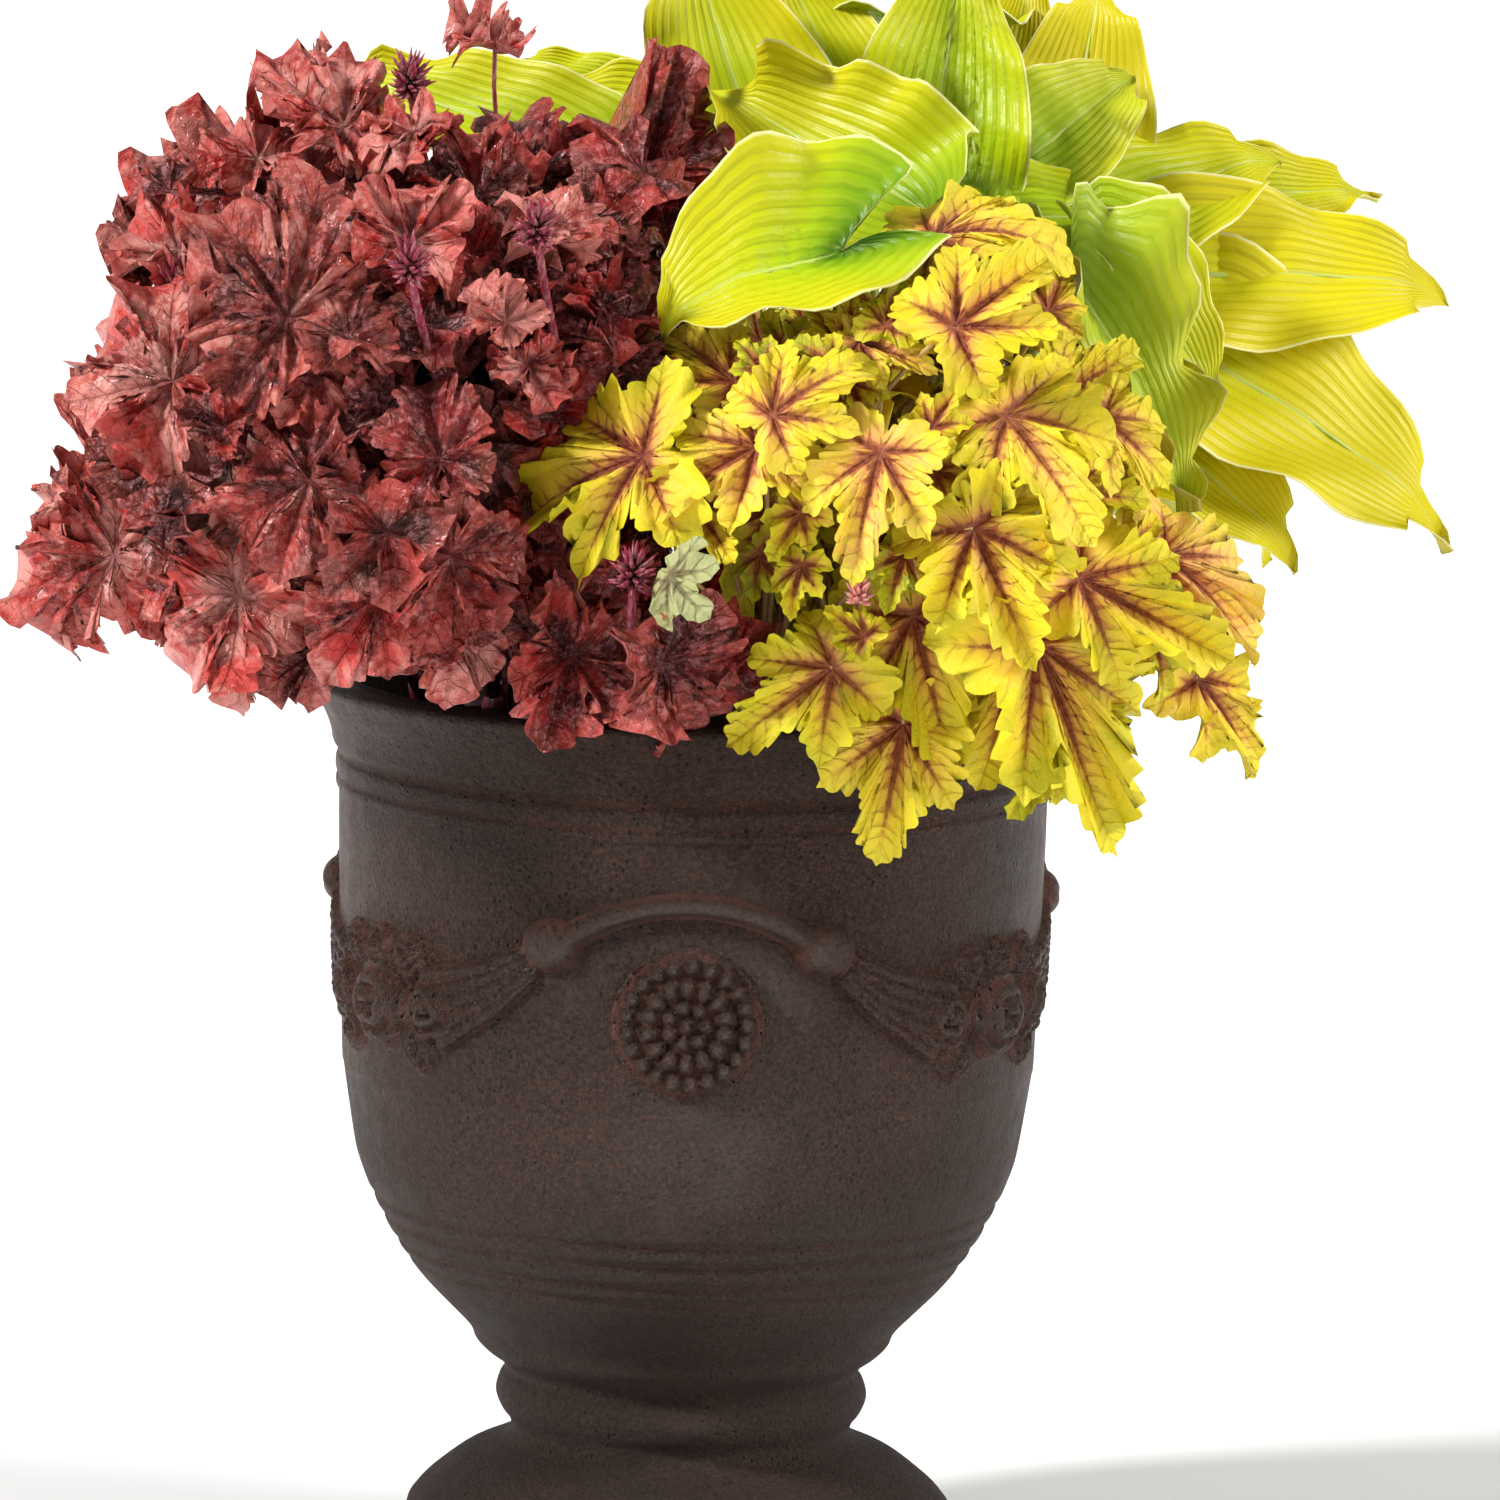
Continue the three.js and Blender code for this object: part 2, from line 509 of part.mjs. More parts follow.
// leaves on the far side of a dome, spread by the golden angle
function farLeaves(dome, count, from, to, len) {
  return Array.from({ length: count }, (_, i) => {
    const bearing = rad(from + (to - from) * ((i * 0.618034) % 1));
    const high = rad(-14 + 76 * (i + 0.5) / count);
    const out = V(Math.cos(bearing) * Math.cos(high), Math.sin(bearing) * Math.cos(high), Math.sin(high));
    const mid = out.clone().multiply(dome.size).multiplyScalar(0.94 + 0.05 * draw(i + 90)).add(dome.mid);
    const face = out.clone().add(V(0.3 * draw(i + 5), 0.2 * draw(i + 6), 0.4));
    return freeLeaf(mid, face, V(out.x + 0.6 * draw(i + 7), out.y + 0.6 * draw(i + 8), -0.7),
      len * (1 + 0.18 * draw(i + 9)));
  });
}

// the oval that stands for a leaf: middle along the rib, half length and half width over the length
function finishLeaf(leaf, seed, [mid, along, across, droop], extra) {
  const out = { wide: 1, fold: 0, bend: 0, joints: 3, ...leaf, seed, ...extra };
  // the blade starts raised by half its bend and its droop, so that its tip ends where it is drawn
  const tilt = out.bend / 2 + droop, flat = out.rib.clone();
  out.rib.multiplyScalar(Math.cos(tilt)).addScaledVector(out.face, Math.sin(tilt));
  out.face = out.face.clone().multiplyScalar(Math.cos(tilt)).addScaledVector(flat, -Math.sin(tilt));
  out.len *= Math.max(1, (out.bend / 2) / Math.sin(out.bend / 2) || 1);
  out.side = out.rib.clone().cross(out.face);
  out.middle = out.foot.clone().addScaledVector(out.rib, mid * out.len);
  out.oval = [along * out.len, across * out.len * out.wide];
  return out;
}

// leaves of one plant, each given to the shoot whose head is nearest; a petiole stands on its
// crown on the side its leaf goes to
function clump(dome, rows, far, shoots, start, wide) {
  const near = rows.map((row, i) => {
    const [u0, v0, u1, v1] = row;
    const spot = domeAt(dome, u0 + 0.4 * (u1 - u0), v0 + 0.4 * (v1 - v0));
    const face = spot.face.add(V(0.22 * draw(start + 3 * i), -0.3, 0.4 + 0.2 * draw(start + 5 * i)));
    return { ...drawnLeaf(row, spot.depth + (row[5] || 0), face), wide: row[4] || wide };
  });
  return [...near, ...far].map((leaf, i) => {
    const gap = (s) => leaf.mid.distanceTo(V(...s.head));
    const shoot = shoots.reduce((a, b) => (gap(b) < gap(a) ? b : a));
    return finishLeaf({ wide, ...leaf }, start + i, [0.22, 0.7, 0.76, 0.22], { node: shoot.node,
      crown: V(shoot.at[0], shoot.at[1], 0), bend: 0.25 + 0.25 * draw(start + i) });
  });
}

function seatPetioles(leaves) {
  leaves.forEach((leaf) => {
    const out = leaf.foot.clone().sub(leaf.crown).setZ(0);
    out.multiplyScalar(Math.min(0.1, (CROWN_R - 6) / out.length()));
    leaf.root = leaf.crown.clone().add(out);
  });
}

// ---------------------------------------------------------------- hosta
// drawn leaves: petiole end, tip, depth of the middle, face turned right and up (degrees),
// width over length, backward bend, fold along the rib
const HOSTA_LEAVES = [
  [823, 262, 652, 338, -120, -18, 42, 1.1, 0.5, 0.1],
  [905, 208, 702, 82, -48, -20, 30, 0.72, -0.3, 0.25],
  [928, 186, 962, -55, 22, 0, 12, 0.78, 0.25, 0.3],
  [765, 175, 690, -62, 52, -12, 14, 0.85, 0.2, 0.12],
  [880, 150, 772, -58, 92, -10, 12, 0.6, 0.2, 0.2],
  [560, 150, 318, 68, 96, -20, 42, 0.5, 0.5, 0.15],
  [680, 120, 540, 92, 118, -10, 38, 0.85, 0.4, 0.1],
  [620, 90, 505, 50, 160, -10, 30, 0.6, 0.3, 0.1],
  [1030, 158, 1139, 70, 30, 14, 24, 0.9, 0.2, 0.25],
  [1060, 190, 1105, -40, 92, 8, 14, 0.72, 0.2, 0.15],
  [1000, 120, 1035, -45, 128, 0, 14, 0.6, 0.2, 0.15],
  [1085, 225, 1290, 150, 58, 14, 46, 0.7, 0.4, 0.1],
  [1180, 200, 1392, 187, 112, 18, 40, 0.5, 0.4, 0.15],
  [1175, 275, 1466, 290, 52, 18, 34, 0.62, 0.5, 0.08],
  [1175, 345, 1463, 543, -2, 30, 34, 0.68, 0.5, 0.08],
  [1110, 410, 1305, 567, -40, 24, 36, 0.62, 0.4, 0.1],
  [1078, 290, 1182, 518, -82, 32, 22, 0.62, 0.4, 0.2],
  [1105, 258, 1217, 416, -38, 34, 30, 0.56, 0.4, 0.2],
  [1005, 222, 1166, 228, -30, 8, 52, 0.8, 0.3, 0.1],
];
const HOSTA_CROWN = V(118, 62, 0);

// leaves at the back: bearing from +X (degrees), reach from the crown, height, length
const HOSTA_FAR = [[62, 190, 700, 150], [98, 205, 790, 160], [132, 190, 730, 150], [30, 235, 790, 150],
  [80, 120, 880, 160], [48, 205, 605, 150], [90, 215, 635, 150], [130, 215, 610, 150]];

function hostaLeaves() {
  const near = HOSTA_LEAVES.map(([u0, v0, u1, v1, depth, swing, lean, wide, bend, fold]) => {
    const face = V(Math.sin(rad(swing)) * Math.cos(rad(lean)),
      -Math.cos(rad(swing)) * Math.cos(rad(lean)), Math.sin(rad(lean)));
    return { ...drawnLeaf([u0, v0, u1, v1], depth, face), wide, bend, fold };
  });
  const far = HOSTA_FAR.map(([bearing, reach, z, len]) => {
    const out = V(Math.cos(rad(bearing)), Math.sin(rad(bearing)), 0);
    const mid = HOSTA_CROWN.clone().addScaledVector(out, reach).setZ(z);
    return { ...freeLeaf(mid, out.clone().multiplyScalar(0.55).add(UP), out.clone().addScaledVector(UP, -0.5),
      len), wide: 0.8, bend: 0.5, fold: 0.1 };
  });
  const all = [...near, ...far];
  return all.map((leaf, i) => {
    // petioles stand round the crown in the direction their leaf goes
    const dir = Math.atan2(leaf.foot.y - HOSTA_CROWN.y, leaf.foot.x - HOSTA_CROWN.x);
    const out = clamp(Math.hypot(leaf.foot.x - HOSTA_CROWN.x, leaf.foot.y - HOSTA_CROWN.y) * 0.25, 8, 52);
    const root = V(HOSTA_CROWN.x + out * Math.cos(dir), HOSTA_CROWN.y + out * Math.sin(dir), 0);
    return finishLeaf(leaf, 400 + i, [0.4, 0.58, 0.5, 0], { node: `hosta_leaf_${i + 1}`, root, joints: 4 });
  });
}

// ---------------------------------------------------------------- flower spikes
// drawn bud heads of the red heuchera: middle across, down; depth; root of the stem in the soil
const SPIKES = [
  [416, 96, -95, -105, -20], [423, 285, -262, -108, -98], [190, 300, -150, -165, 0],
  [544, 248, -215, -48, -98], [637, 581, -268, -40, -165],
];
const BUD = 15;                  // radius of a bud head

// spiked head: a low ball with every face drawn out to a point
function budHead(mid, grow = 0) {
  const ball = new THREE.OctahedronGeometry(BUD * 0.55 + grow, 0);
  const p = ball.attributes.position, pts = [], tris = [], seen = new Map();
  const corner = (i) => {
    const q = V(p.getX(i), p.getY(i), p.getZ(i) * 1.25), key = q.toArray().map((c) => c.toFixed(3)).join();
    if (!seen.has(key)) { seen.set(key, pts.length); pts.push(q.add(mid)); }
    return seen.get(key);
  };
  for (let i = 0; i < p.count; i += 3) {
    const [a, b, c] = [corner(i), corner(i + 1), corner(i + 2)];
    const out = pts[a].clone().add(pts[b]).add(pts[c]).divideScalar(3).sub(mid).normalize();
    pts.push(mid.clone().addScaledVector(out, BUD * 1.15 + grow));
    tris.push([a, b, pts.length - 1], [b, c, pts.length - 1], [c, a, pts.length - 1]);
  }
  return solid(pts, tris);
}

function spikePath([u, v, y, rx, ry]) {
  const top = sight(u, v, y), foot = V(rx, ry, SOIL_Z - 18);
  return new THREE.CubicBezierCurve3(foot, V(rx, ry, foot.z + 0.4 * (top.z - foot.z)),
    V(top.x + 0.15 * (rx - top.x), top.y + 0.15 * (ry - top.y), top.z - 70), top).getPoints(4);
}

function spike(row, grow = 0) {
  const path = spikePath(row);
  return fuse([rod(path, path.map(() => 3 + grow), 4), budHead(path[4], grow)]);
}

// ---------------------------------------------------------------- assembly
const nodes = [];                // {name, colour, body, wide}: wide is the body grown by the clearance

function stump(x, y, grow = 0) {
  const path = [V(x, y, SOIL_Z - 26 - grow), V(x, y, SOIL_Z + 4), V(x, y, SOIL_Z + 22 + grow)];
  return rod(path, [CROWN_R - 5 + grow, CROWN_R + grow, CROWN_R - 3 + grow], 6);
}

function plantNodes() {
  const red = clump(RED_DOME, RED_LEAVES, farLeaves(RED_DOME, 13, 25, 192, 86), RED_SHOOTS, 100, 0.86);
  const gold = clump(GOLD_DOME, GOLD_LEAVES, farLeaves(GOLD_DOME, 3, -55, 20, 85), GOLD_SHOOTS, 200, 0.94);
  const hosta = hostaLeaves();
  const placed = [];
  [...hosta, ...gold, ...red].forEach((leaf) => placed.push(settle(leaf, placed)));
  seatPetioles(placed.filter((leaf) => leaf.crown));

  const groups = new Map();
  placed.forEach((leaf) => {
    if (!groups.has(leaf.node)) groups.set(leaf.node, []);
    groups.get(leaf.node).push(leaf);
  });
  const done = [
    ...SPIKES.map((row, i) => ({ node: `spike ${i}`, path: spikePath(row), thick: 3 })),
    ...[...RED_SHOOTS, ...GOLD_SHOOTS].map(({ node, at: [x, y] }) => (
      { node, path: [V(x, y, SOIL_Z - 20), V(x, y, SOIL_Z + 20)], thick: CROWN_R })),
  ];
  const parts = [...groups].map(([name, leaves]) => {
    const isHosta = name.startsWith('hosta');
    const kind = isHosta ? HOSTA : name.startsWith('heucherella') ? GOLD : RED;
    const grown = leaves.map((leaf) => routed(leaf, kind, isHosta ? SOIL_Z - 22 : SOIL_Z + 9, placed, done));
    const stems = (grow) => fuse([
      ...(isHosta ? [] : [stump(leaves[0].crown.x, leaves[0].crown.y, grow)]),
      ...grown.map((leaf) => stalk(leaf, kind.stalk, grow))]);
    return { name, colour: isHosta ? 0xb5c51f : kind === GOLD ? 0xe0c81e : 0x6e1518,
      stems: stems(0), wideStems: stems(CLEAR),
      blades: fuse(leaves.map((leaf) => blade(leaf, kind))),
      wideBlades: fuse(leaves.map((leaf) => blade(leaf, kind, CLEAR))) };
  });
  SPIKES.forEach((row, i) => parts.push({ name: `heuchera_flower_spike_${i + 1}`, colour: 0x8c1f4a,
    stems: spike(row), wideStems: spike(row, CLEAR), blades: null, wideBlades: null }));
  return parts;
}

const wideUrn = turned([...OUTSIDE, ...INSIDE].map(([r, z], i) =>
  [r === 0 ? 0 : r + (i < OUTSIDE.length ? 1.2 : -1.2), z + (i && z > RIM_Z - 8 ? 1.2 : 0)]), URN_SIDES);

function cutClear(parts) {
  const allStems = [];
  parts.forEach((p) => {
    p.stems = fuse([p.stems]).subtract(wideUrn);
    allStems.forEach((w) => { p.stems = p.stems.subtract(w); });
    p.stems = mainBody(p.stems);
    allStems.push(p.wideStems);
  });
  const before = [];
  parts.forEach((p, i) => {
    let body = p.stems;
    if (p.blades) {
      let b = p.blades.subtract(wideUrn);
      parts.forEach((o, k) => { if (k !== i) b = b.subtract(o.wideStems); });
      before.forEach((w) => { b = b.subtract(w); });
      before.push(p.wideBlades);
      body = mainBody(body.add(b));
    }
    p.body = body;
  });
}

function toMesh(name, body, colour) {
  const m = body.getMesh(), g = new THREE.BufferGeometry();
  g.setAttribute('position', new THREE.BufferAttribute(Float32Array.from(m.vertProperties), 3));
  g.setIndex(Array.from(m.triVerts));
  g.computeVertexNormals();
  const mesh = new THREE.Mesh(g, new THREE.MeshStandardMaterial({ color: colour, roughness: 0.7 }));
  mesh.name = name;
  return mesh;
}

const object = new THREE.Group();
object.name = 'planted_urn';

const parts = plantNodes();
cutClear(parts);

// soil fills the urn and has a plain hole for every stem
const soilRadius = (z) => {
  for (let i = 0; i + 1 < INSIDE.length; i += 1) {
    const [r1, z1] = INSIDE[i], [r0, z0] = INSIDE[i + 1];
    if (z <= z1 && z >= z0 && z1 > z0) return r0 + (r1 - r0) * (z - z0) / (z1 - z0) - SLIP;
  }
  return 0;
};
const soilBlank = turned([[0, FLOOR_Z + SLIP], [118 - WALL - 1.2, FLOOR_Z + SLIP],
  ...[195, 310, 490, SOIL_Z].map((z) => [soilRadius(z) - 0.3, z]),
  [0, SOIL_Z + SOIL_RISE]], URN_SIDES);
const soil = parts.reduce((s, p) => s.subtract(p.wideStems), soilBlank);

object.add(toMesh('urn', makeUrn(), 0x3a2e2a));
object.add(toMesh('soil', mainBody(soil), 0x2a1c14));
parts.forEach((p) => object.add(toMesh(p.name, p.body, p.colour)));

export default object;
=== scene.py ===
"""Looks of a planted garden urn: a cast stone urn with soil, a red heuchera with bud spikes, a yellow
heucherella with red veins and a chartreuse hosta. Shapes are worked out in millimetres and put into
meshes in metres. Origin: centre of the underside of the urn, +X right, +Y back, +Z up."""
import math
from functools import partial
from types import SimpleNamespace

import bpy
import numpy as np
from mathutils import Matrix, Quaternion, Vector


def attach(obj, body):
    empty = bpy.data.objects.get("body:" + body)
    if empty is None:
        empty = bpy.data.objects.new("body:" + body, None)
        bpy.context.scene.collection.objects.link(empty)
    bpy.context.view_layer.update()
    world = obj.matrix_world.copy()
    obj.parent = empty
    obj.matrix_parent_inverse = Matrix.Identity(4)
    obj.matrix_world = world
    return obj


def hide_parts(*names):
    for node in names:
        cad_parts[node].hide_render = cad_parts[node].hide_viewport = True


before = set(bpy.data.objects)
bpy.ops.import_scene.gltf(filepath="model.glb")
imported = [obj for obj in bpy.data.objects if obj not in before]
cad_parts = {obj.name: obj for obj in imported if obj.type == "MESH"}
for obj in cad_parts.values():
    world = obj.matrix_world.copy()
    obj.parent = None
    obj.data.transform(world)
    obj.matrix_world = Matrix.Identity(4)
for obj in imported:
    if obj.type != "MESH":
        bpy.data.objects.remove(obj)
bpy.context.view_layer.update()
MM = 0.001
THIRD_TURN = 2 * math.pi / 3

# ---------------------------------------------------------------- small helpers


def vec(x, y, z):
    return np.array([x, y, z], float)


def unit(v):
    return v / np.linalg.norm(v)


def clamp(x, lo, hi):
    return min(hi, max(lo, x))


def draw(n):
    """Repeatable draw between -1 and 1 for a number, or for an array of numbers."""
    s = np.sin(np.asarray(n, float) * 127.1 + 311.7) * 43758.5453
    return 2 * (s - np.floor(s)) - 1


def wander(x, seed):
    """Smooth noise along x: three sines of unrelated length and drawn phase, about -1 to 1."""
    return sum(np.sin(x * f + 9 * draw(seed + k)) for k, f in enumerate((1.0, 1.73, 2.91))) / 2.2


def smooth(points, count):
    """Smooth curve through points: each span is the cubic that leaves and enters it along the
    chord of the neighbouring points; the ends run straight on."""
    p = np.asarray(points, float)
    p = np.vstack([2 * p[0] - p[1], p, 2 * p[-1] - p[-2]])
    at = np.linspace(0, len(p) - 3 - 1e-9, count)
    k = at.astype(int)
    t = (at - k)[:, None]
    a, b, c, d = p[k], p[k + 1], p[k + 2], p[k + 3]
    return 0.5 * (2 * b + (c - a) * t + (2 * a - 5 * b + 4 * c - d) * t**2 + (3 * b - a - 3 * c + d) * t**3)


def around(count):
    """Numbers of the places on a closed ring, the number that follows each, and their turns in radians."""
    i = np.arange(count)
    return i, (i + 1) % count, 2 * np.pi * i / count


def turned(r, turn, z):
    """Points at radius r and height z, turned about Z from the front."""
    return np.stack([r * np.sin(turn), -r * np.cos(turn), np.broadcast_to(z, r.shape)], -1)


def fan(middle, here, there):
    """Triangles from one point to the sides of a ring."""
    return np.stack([np.full(len(here), middle), here, there], 1)


def grid_faces(rows, cols, wrap=False):
    """Quads of a grid stored row by row; wrap joins the last column to the first."""
    r, c = np.meshgrid(np.arange(rows - 1), np.arange(cols if wrap else cols - 1), indexing="ij")
    n = (c + 1) % cols
    return np.stack([r * cols + c, r * cols + n, (r + 1) * cols + n, (r + 1) * cols + c], -1).reshape(-1, 4)


def patch(points, quads, tris=(), sharp=None, **marks):
    """One closed shape waiting to be joined: points in mm, quads, triangles, points on a sharp edge
    and named marks, each a three-part number for every point."""
    points = np.asarray(points, float).reshape(-1, 3)
    return SimpleNamespace(
        points=points, quads=quads, tris=np.asarray(tris, int).reshape(-1, 3),
        sharp=np.zeros(len(points), int) if sharp is None else sharp,
        marks={k: np.broadcast_to(np.asarray(v, float), (len(points), 3)) for k, v in marks.items()})


def volume_turned_out(p):
    """The same patch with every face turned over if its volume comes out negative."""
    t = np.vstack([p.tris, p.quads[:, [0, 1, 2]], p.quads[:, [0, 2, 3]]])
    a, b, c = (p.points[t[:, i]] for i in range(3))
    if np.einsum("ij,ij->i", a, np.cross(b, c)).sum() < 0:
        p.quads, p.tris = p.quads[:, ::-1], p.tris[:, ::-1]
    return p


def piece(name, patches, finish, replaces=()):
    """Mesh object from patches of one or more finishes. finish is a material or a list of materials,
    one for each patch. Smooth faces; edges between two points of one sharp ring are sharp."""
    patches = [volume_turned_out(p) for p in patches]
    finishes = finish if isinstance(finish, list) else [finish] * len(patches)
    kinds = list(dict.fromkeys(m.name for m in finishes))
    first = np.cumsum([0] + [len(p.points) for p in patches])
    points = np.vstack([p.points for p in patches]) * MM
    quads = np.vstack([p.quads + f for p, f in zip(patches, first)])
    tris = np.vstack([p.tris + f for p, f in zip(patches, first)])
    kind_of = [kinds.index(m.name) for m in finishes]
    face_kind = np.concatenate([np.repeat(kind_of, [len(p.quads) for p in patches]),
                                np.repeat(kind_of, [len(p.tris) for p in patches])])
    mesh = bpy.data.meshes.new(name)
    mesh.vertices.add(len(points))
    mesh.vertices.foreach_set("co", points.ravel())
    mesh.loops.add(quads.size + tris.size)
    mesh.loops.foreach_set("vertex_index", np.concatenate([quads.ravel(), tris.ravel()]).astype(np.int32))
    mesh.polygons.add(len(quads) + len(tris))
    starts = np.concatenate([np.arange(len(quads)) * 4, quads.size + np.arange(len(tris)) * 3])
    mesh.polygons.foreach_set("loop_start", starts.astype(np.int32))
    mesh.polygons.foreach_set("material_index", face_kind.astype(np.int32))
    mesh.update(calc_edges=True)
    mesh.shade_smooth()
    # rings 1 and 2 of each patch get numbers of their own, so that no two patches share one
    ring = np.concatenate([np.where(p.sharp > 0, p.sharp + 10 * k, 0) for k, p in enumerate(patches)])
    ends = np.zeros(len(mesh.edges) * 2, np.int32)
    mesh.edges.foreach_get("vertices", ends)
    ends = ring[ends.reshape(-1, 2)]
    mesh.attributes.new("sharp_edge", "BOOLEAN", "EDGE").data.foreach_set(
        "value", (ends[:, 0] > 0) & (ends[:, 0] == ends[:, 1]))
    for name_of_mark in sorted({k for p in patches for k in p.marks}):
        values = np.vstack([p.marks.get(name_of_mark, np.zeros((len(p.points), 3))) for p in patches])
        mesh.attributes.new(name_of_mark, "FLOAT_VECTOR", "POINT").data.foreach_set("vector", values.ravel())
    for m in kinds:
        mesh.materials.append(bpy.data.materials[m])
    obj = bpy.data.objects.new(name, mesh)
    bpy.context.scene.collection.objects.link(obj)
    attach(obj, "root")
    if replaces:
        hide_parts(*replaces)


def place_along(s):
    """Mark of a stalk: its place from foot to top, three times over."""
    return np.stack([s, s, s], 1)


def tube(path, radii, sides=8, tint=place_along):
    """Round bar along a path: rings square to it, each turned from the last by the least turn,
    closed at both ends by a fan. tint is its mark, fixed or worked out from the place along it."""
    path = np.asarray(path, float)
    n = len(path)
    ahead = np.gradient(path, axis=0)
    ahead /= np.linalg.norm(ahead, axis=1, keepdims=True)
    a = np.cross(ahead[0], vec(0.31, 0.95, 0.05))
    out = []
    for t in ahead:
        a = unit(a - t * a.dot(t))
        out.append(a)
    a = np.array(out)
    b = np.cross(ahead, a)
    i, j, turn = around(sides)
    c, s = np.cos(turn)[None, :, None], np.sin(turn)[None, :, None]
    rings = path[:, None] + np.broadcast_to(radii, n)[:, None, None] * (c * a[:, None] + s * b[:, None])
    low, last = n * sides, (n - 1) * sides
    tris = np.vstack([fan(low, j, i), fan(low + 1, last + i, last + j)])
    along = np.concatenate([np.repeat(np.linspace(0, 1, n), sides), [0, 1]])
    points = np.vstack([rings.reshape(-1, 3), path[0], path[-1]])
    return patch(points, grid_faces(n, sides, wrap=True), tris, tint=tint(along) if callable(tint) else tint)


# ---------------------------------------------------------------- materials
# the setting of a node that a second word in its kind stands for
MAIN_SETTING = {"Math": "operation", "MapRange": "interpolation_type", "Mix": "data_type",
                "TexVoronoi": "feature", "Attribute": "attribute_name"}


def srgb(code):
    """Linear colour from an sRGB hex value."""
    c = np.array([int(code[i:i + 2], 16) for i in (1, 3, 5)]) / 255
    c = np.where(c <= 0.04045, c / 12.92, ((c + 0.055) / 1.055) ** 2.4)
    return (*c, 1.0)


def result(node):
    """The first open output of a node."""
    return next(s for s in node.outputs if s.enabled)


def add(tree, kind, *inputs, stops=(), **settings):
    """Adds a node. A second word in its kind is its main setting. The inputs fill its open sockets in order:
    a node stands for its result, a "#" value for a colour, and None leaves a socket as it is. stops are the
    places and colours of a colour ramp."""
    kind, *main = kind.split()
    node = tree.nodes.new("ShaderNode" + kind)
    for key, value in (*zip([MAIN_SETTING.get(kind)], main), *settings.items()):
        setattr(node, key, value)
    for k, (place, colour) in enumerate(stops):
        ramp = node.color_ramp.elements
        element = ramp[k] if k < 2 else ramp.new(place)
        element.position, element.color = place, srgb(colour)
    for socket, value in zip([s for s in node.inputs if s.enabled], inputs):
        value = result(value) if isinstance(value, bpy.types.Node) else value
        if isinstance(value, bpy.types.NodeSocket):
            tree.links.new(value, socket)
        elif value is not None:
            socket.default_value = srgb(value) if isinstance(value, str) else value
    return node


def material(name, **shader):
    """New material with a Principled shader whose constant sockets are set directly, the function that adds
    nodes to it, and the place on the piece."""
    m = bpy.data.materials.new(name)
    m.use_nodes = True
    for key, value in shader.items():
        socket = m.node_tree.nodes["Principled BSDF"].inputs[key.replace("_", " ")]
        socket.default_value = srgb(value) if isinstance(value, str) else value
    node = partial(add, m.node_tree)
    return m, node, node("TexCoord").outputs["Object"]


def mark(node, name):
    """The three numbers of a mark that the mesh carries."""
    return node("SeparateXYZ", node("Attribute " + name).outputs["Vector"]).outputs


def finished(m, node, colour, rough, strength, distance, height, *parts):
    """Ends a finish: colour, roughness where it isn't constant, and a relief of one height and further
    heights by weight."""
    for part, weight in parts:
        height = node("Math MULTIPLY_ADD", part, weight, height)
    relief = node("Bump", strength, distance, None, height)
    for key, end in (("Base Color", colour), ("Roughness", rough), ("Normal", relief)):
        if end:
            m.node_tree.links.new(result(end), m.node_tree.nodes["Principled BSDF"].inputs[key])
    return m


def cast_stone():
    """Cast stone stained dark brown: dull with a faint wax shine, sandy, pitted by air bubbles, rusty where
    the stain gathers in hollows, which also carry painted shade, greyer where dust lies, with a painted
    highlight on the crests, darker low down. Bubbles are 1 to 3 mm; the sand is 0.8 mm, drawn up to 3 mm
    coarse so that it shows. Mark 'hollow' holds hollows and crests."""
    m, node, place = material("stained_cast_stone", Specular_IOR_Level=0.5, Specular_Tint="#ece0d8")
    hollow, raised, _ = mark(node, "hollow")
    cloud, brush, sand, speck, lump, dots = [node("TexNoise", place, *row) for row in (
        (7.0, 8.0, 0.62), (30.0, 5.0, 0.7), (360.0, 4.0, 0.85), (420.0, 3.0, 0.8), (55.0, 3.0, 0.6),
        (26.0, 3.0))]
    bubble = node("TexVoronoi", place, 170.0).outputs["Distance"]
    pit = node("Math MULTIPLY", node("MapRange", dots, 0.45, 0.58, 0.0, 1.0),
               node("MapRange SMOOTHSTEP", bubble, 0.13, 0.26, 1.0, 0.0))
    base = node("ValToRGB", cloud, stops=((0.3, "#1e110d"), (0.5, "#301d17"), (0.72, "#452e24")))
    grained = node("Mix RGBA", node("MapRange", sand, 0.42, 0.6, 0.0, 1.0), "#070302", "#66483a")
    rust_want = node("Math ADD", node("MapRange", cloud, 0.44, 0.6, 0.08, 0.8), hollow, use_clamp=True)
    rust_dots = node("Math MULTIPLY", rust_want, node("MapRange", speck, 0.54, 0.62, 0.0, 0.7))
    rust_film = node("Math MULTIPLY", node("MapRange", brush, 0.42, 0.58, 0.15, 1.0),
                     node("MapRange", hollow, 0.45, 0.9, 0.0, 0.5))
    low = node("MapRange SMOOTHSTEP", node("SeparateXYZ", place).outputs[2], 0.16, 0.38, 0.5, 0.0)
    tone = node("Mix RGBA", 0.56, base, grained)
    for amount, colour in ((node("MapRange", brush, 0.5, 0.75, 0.0, 0.22), "#54463e"),
                           (node("Math MAXIMUM", rust_dots, rust_film), "#8c5648"),
                           # painted shade darkens the hollows
                           (node("Math MULTIPLY", hollow, 0.12), "#1d1411"),
                           # painted highlight on the crests of the relief
                           (node("MapRange", raised, 0.3, 1.0, 0.0, 0.26), "#6c5b52"),
                           (low, "#180d09"), (pit, "#080404")):
        tone = node("Mix RGBA", amount, tone, colour)
    rough = node("Math MULTIPLY_ADD", low, 0.5, node("MapRange", lump, 0.3, 0.7, 0.34, 0.5))
    return finished(m, node, tone, rough, 1.0, 0.0065, speck, (sand, 1.0), (lump, 1.2), (pit, -1.0))


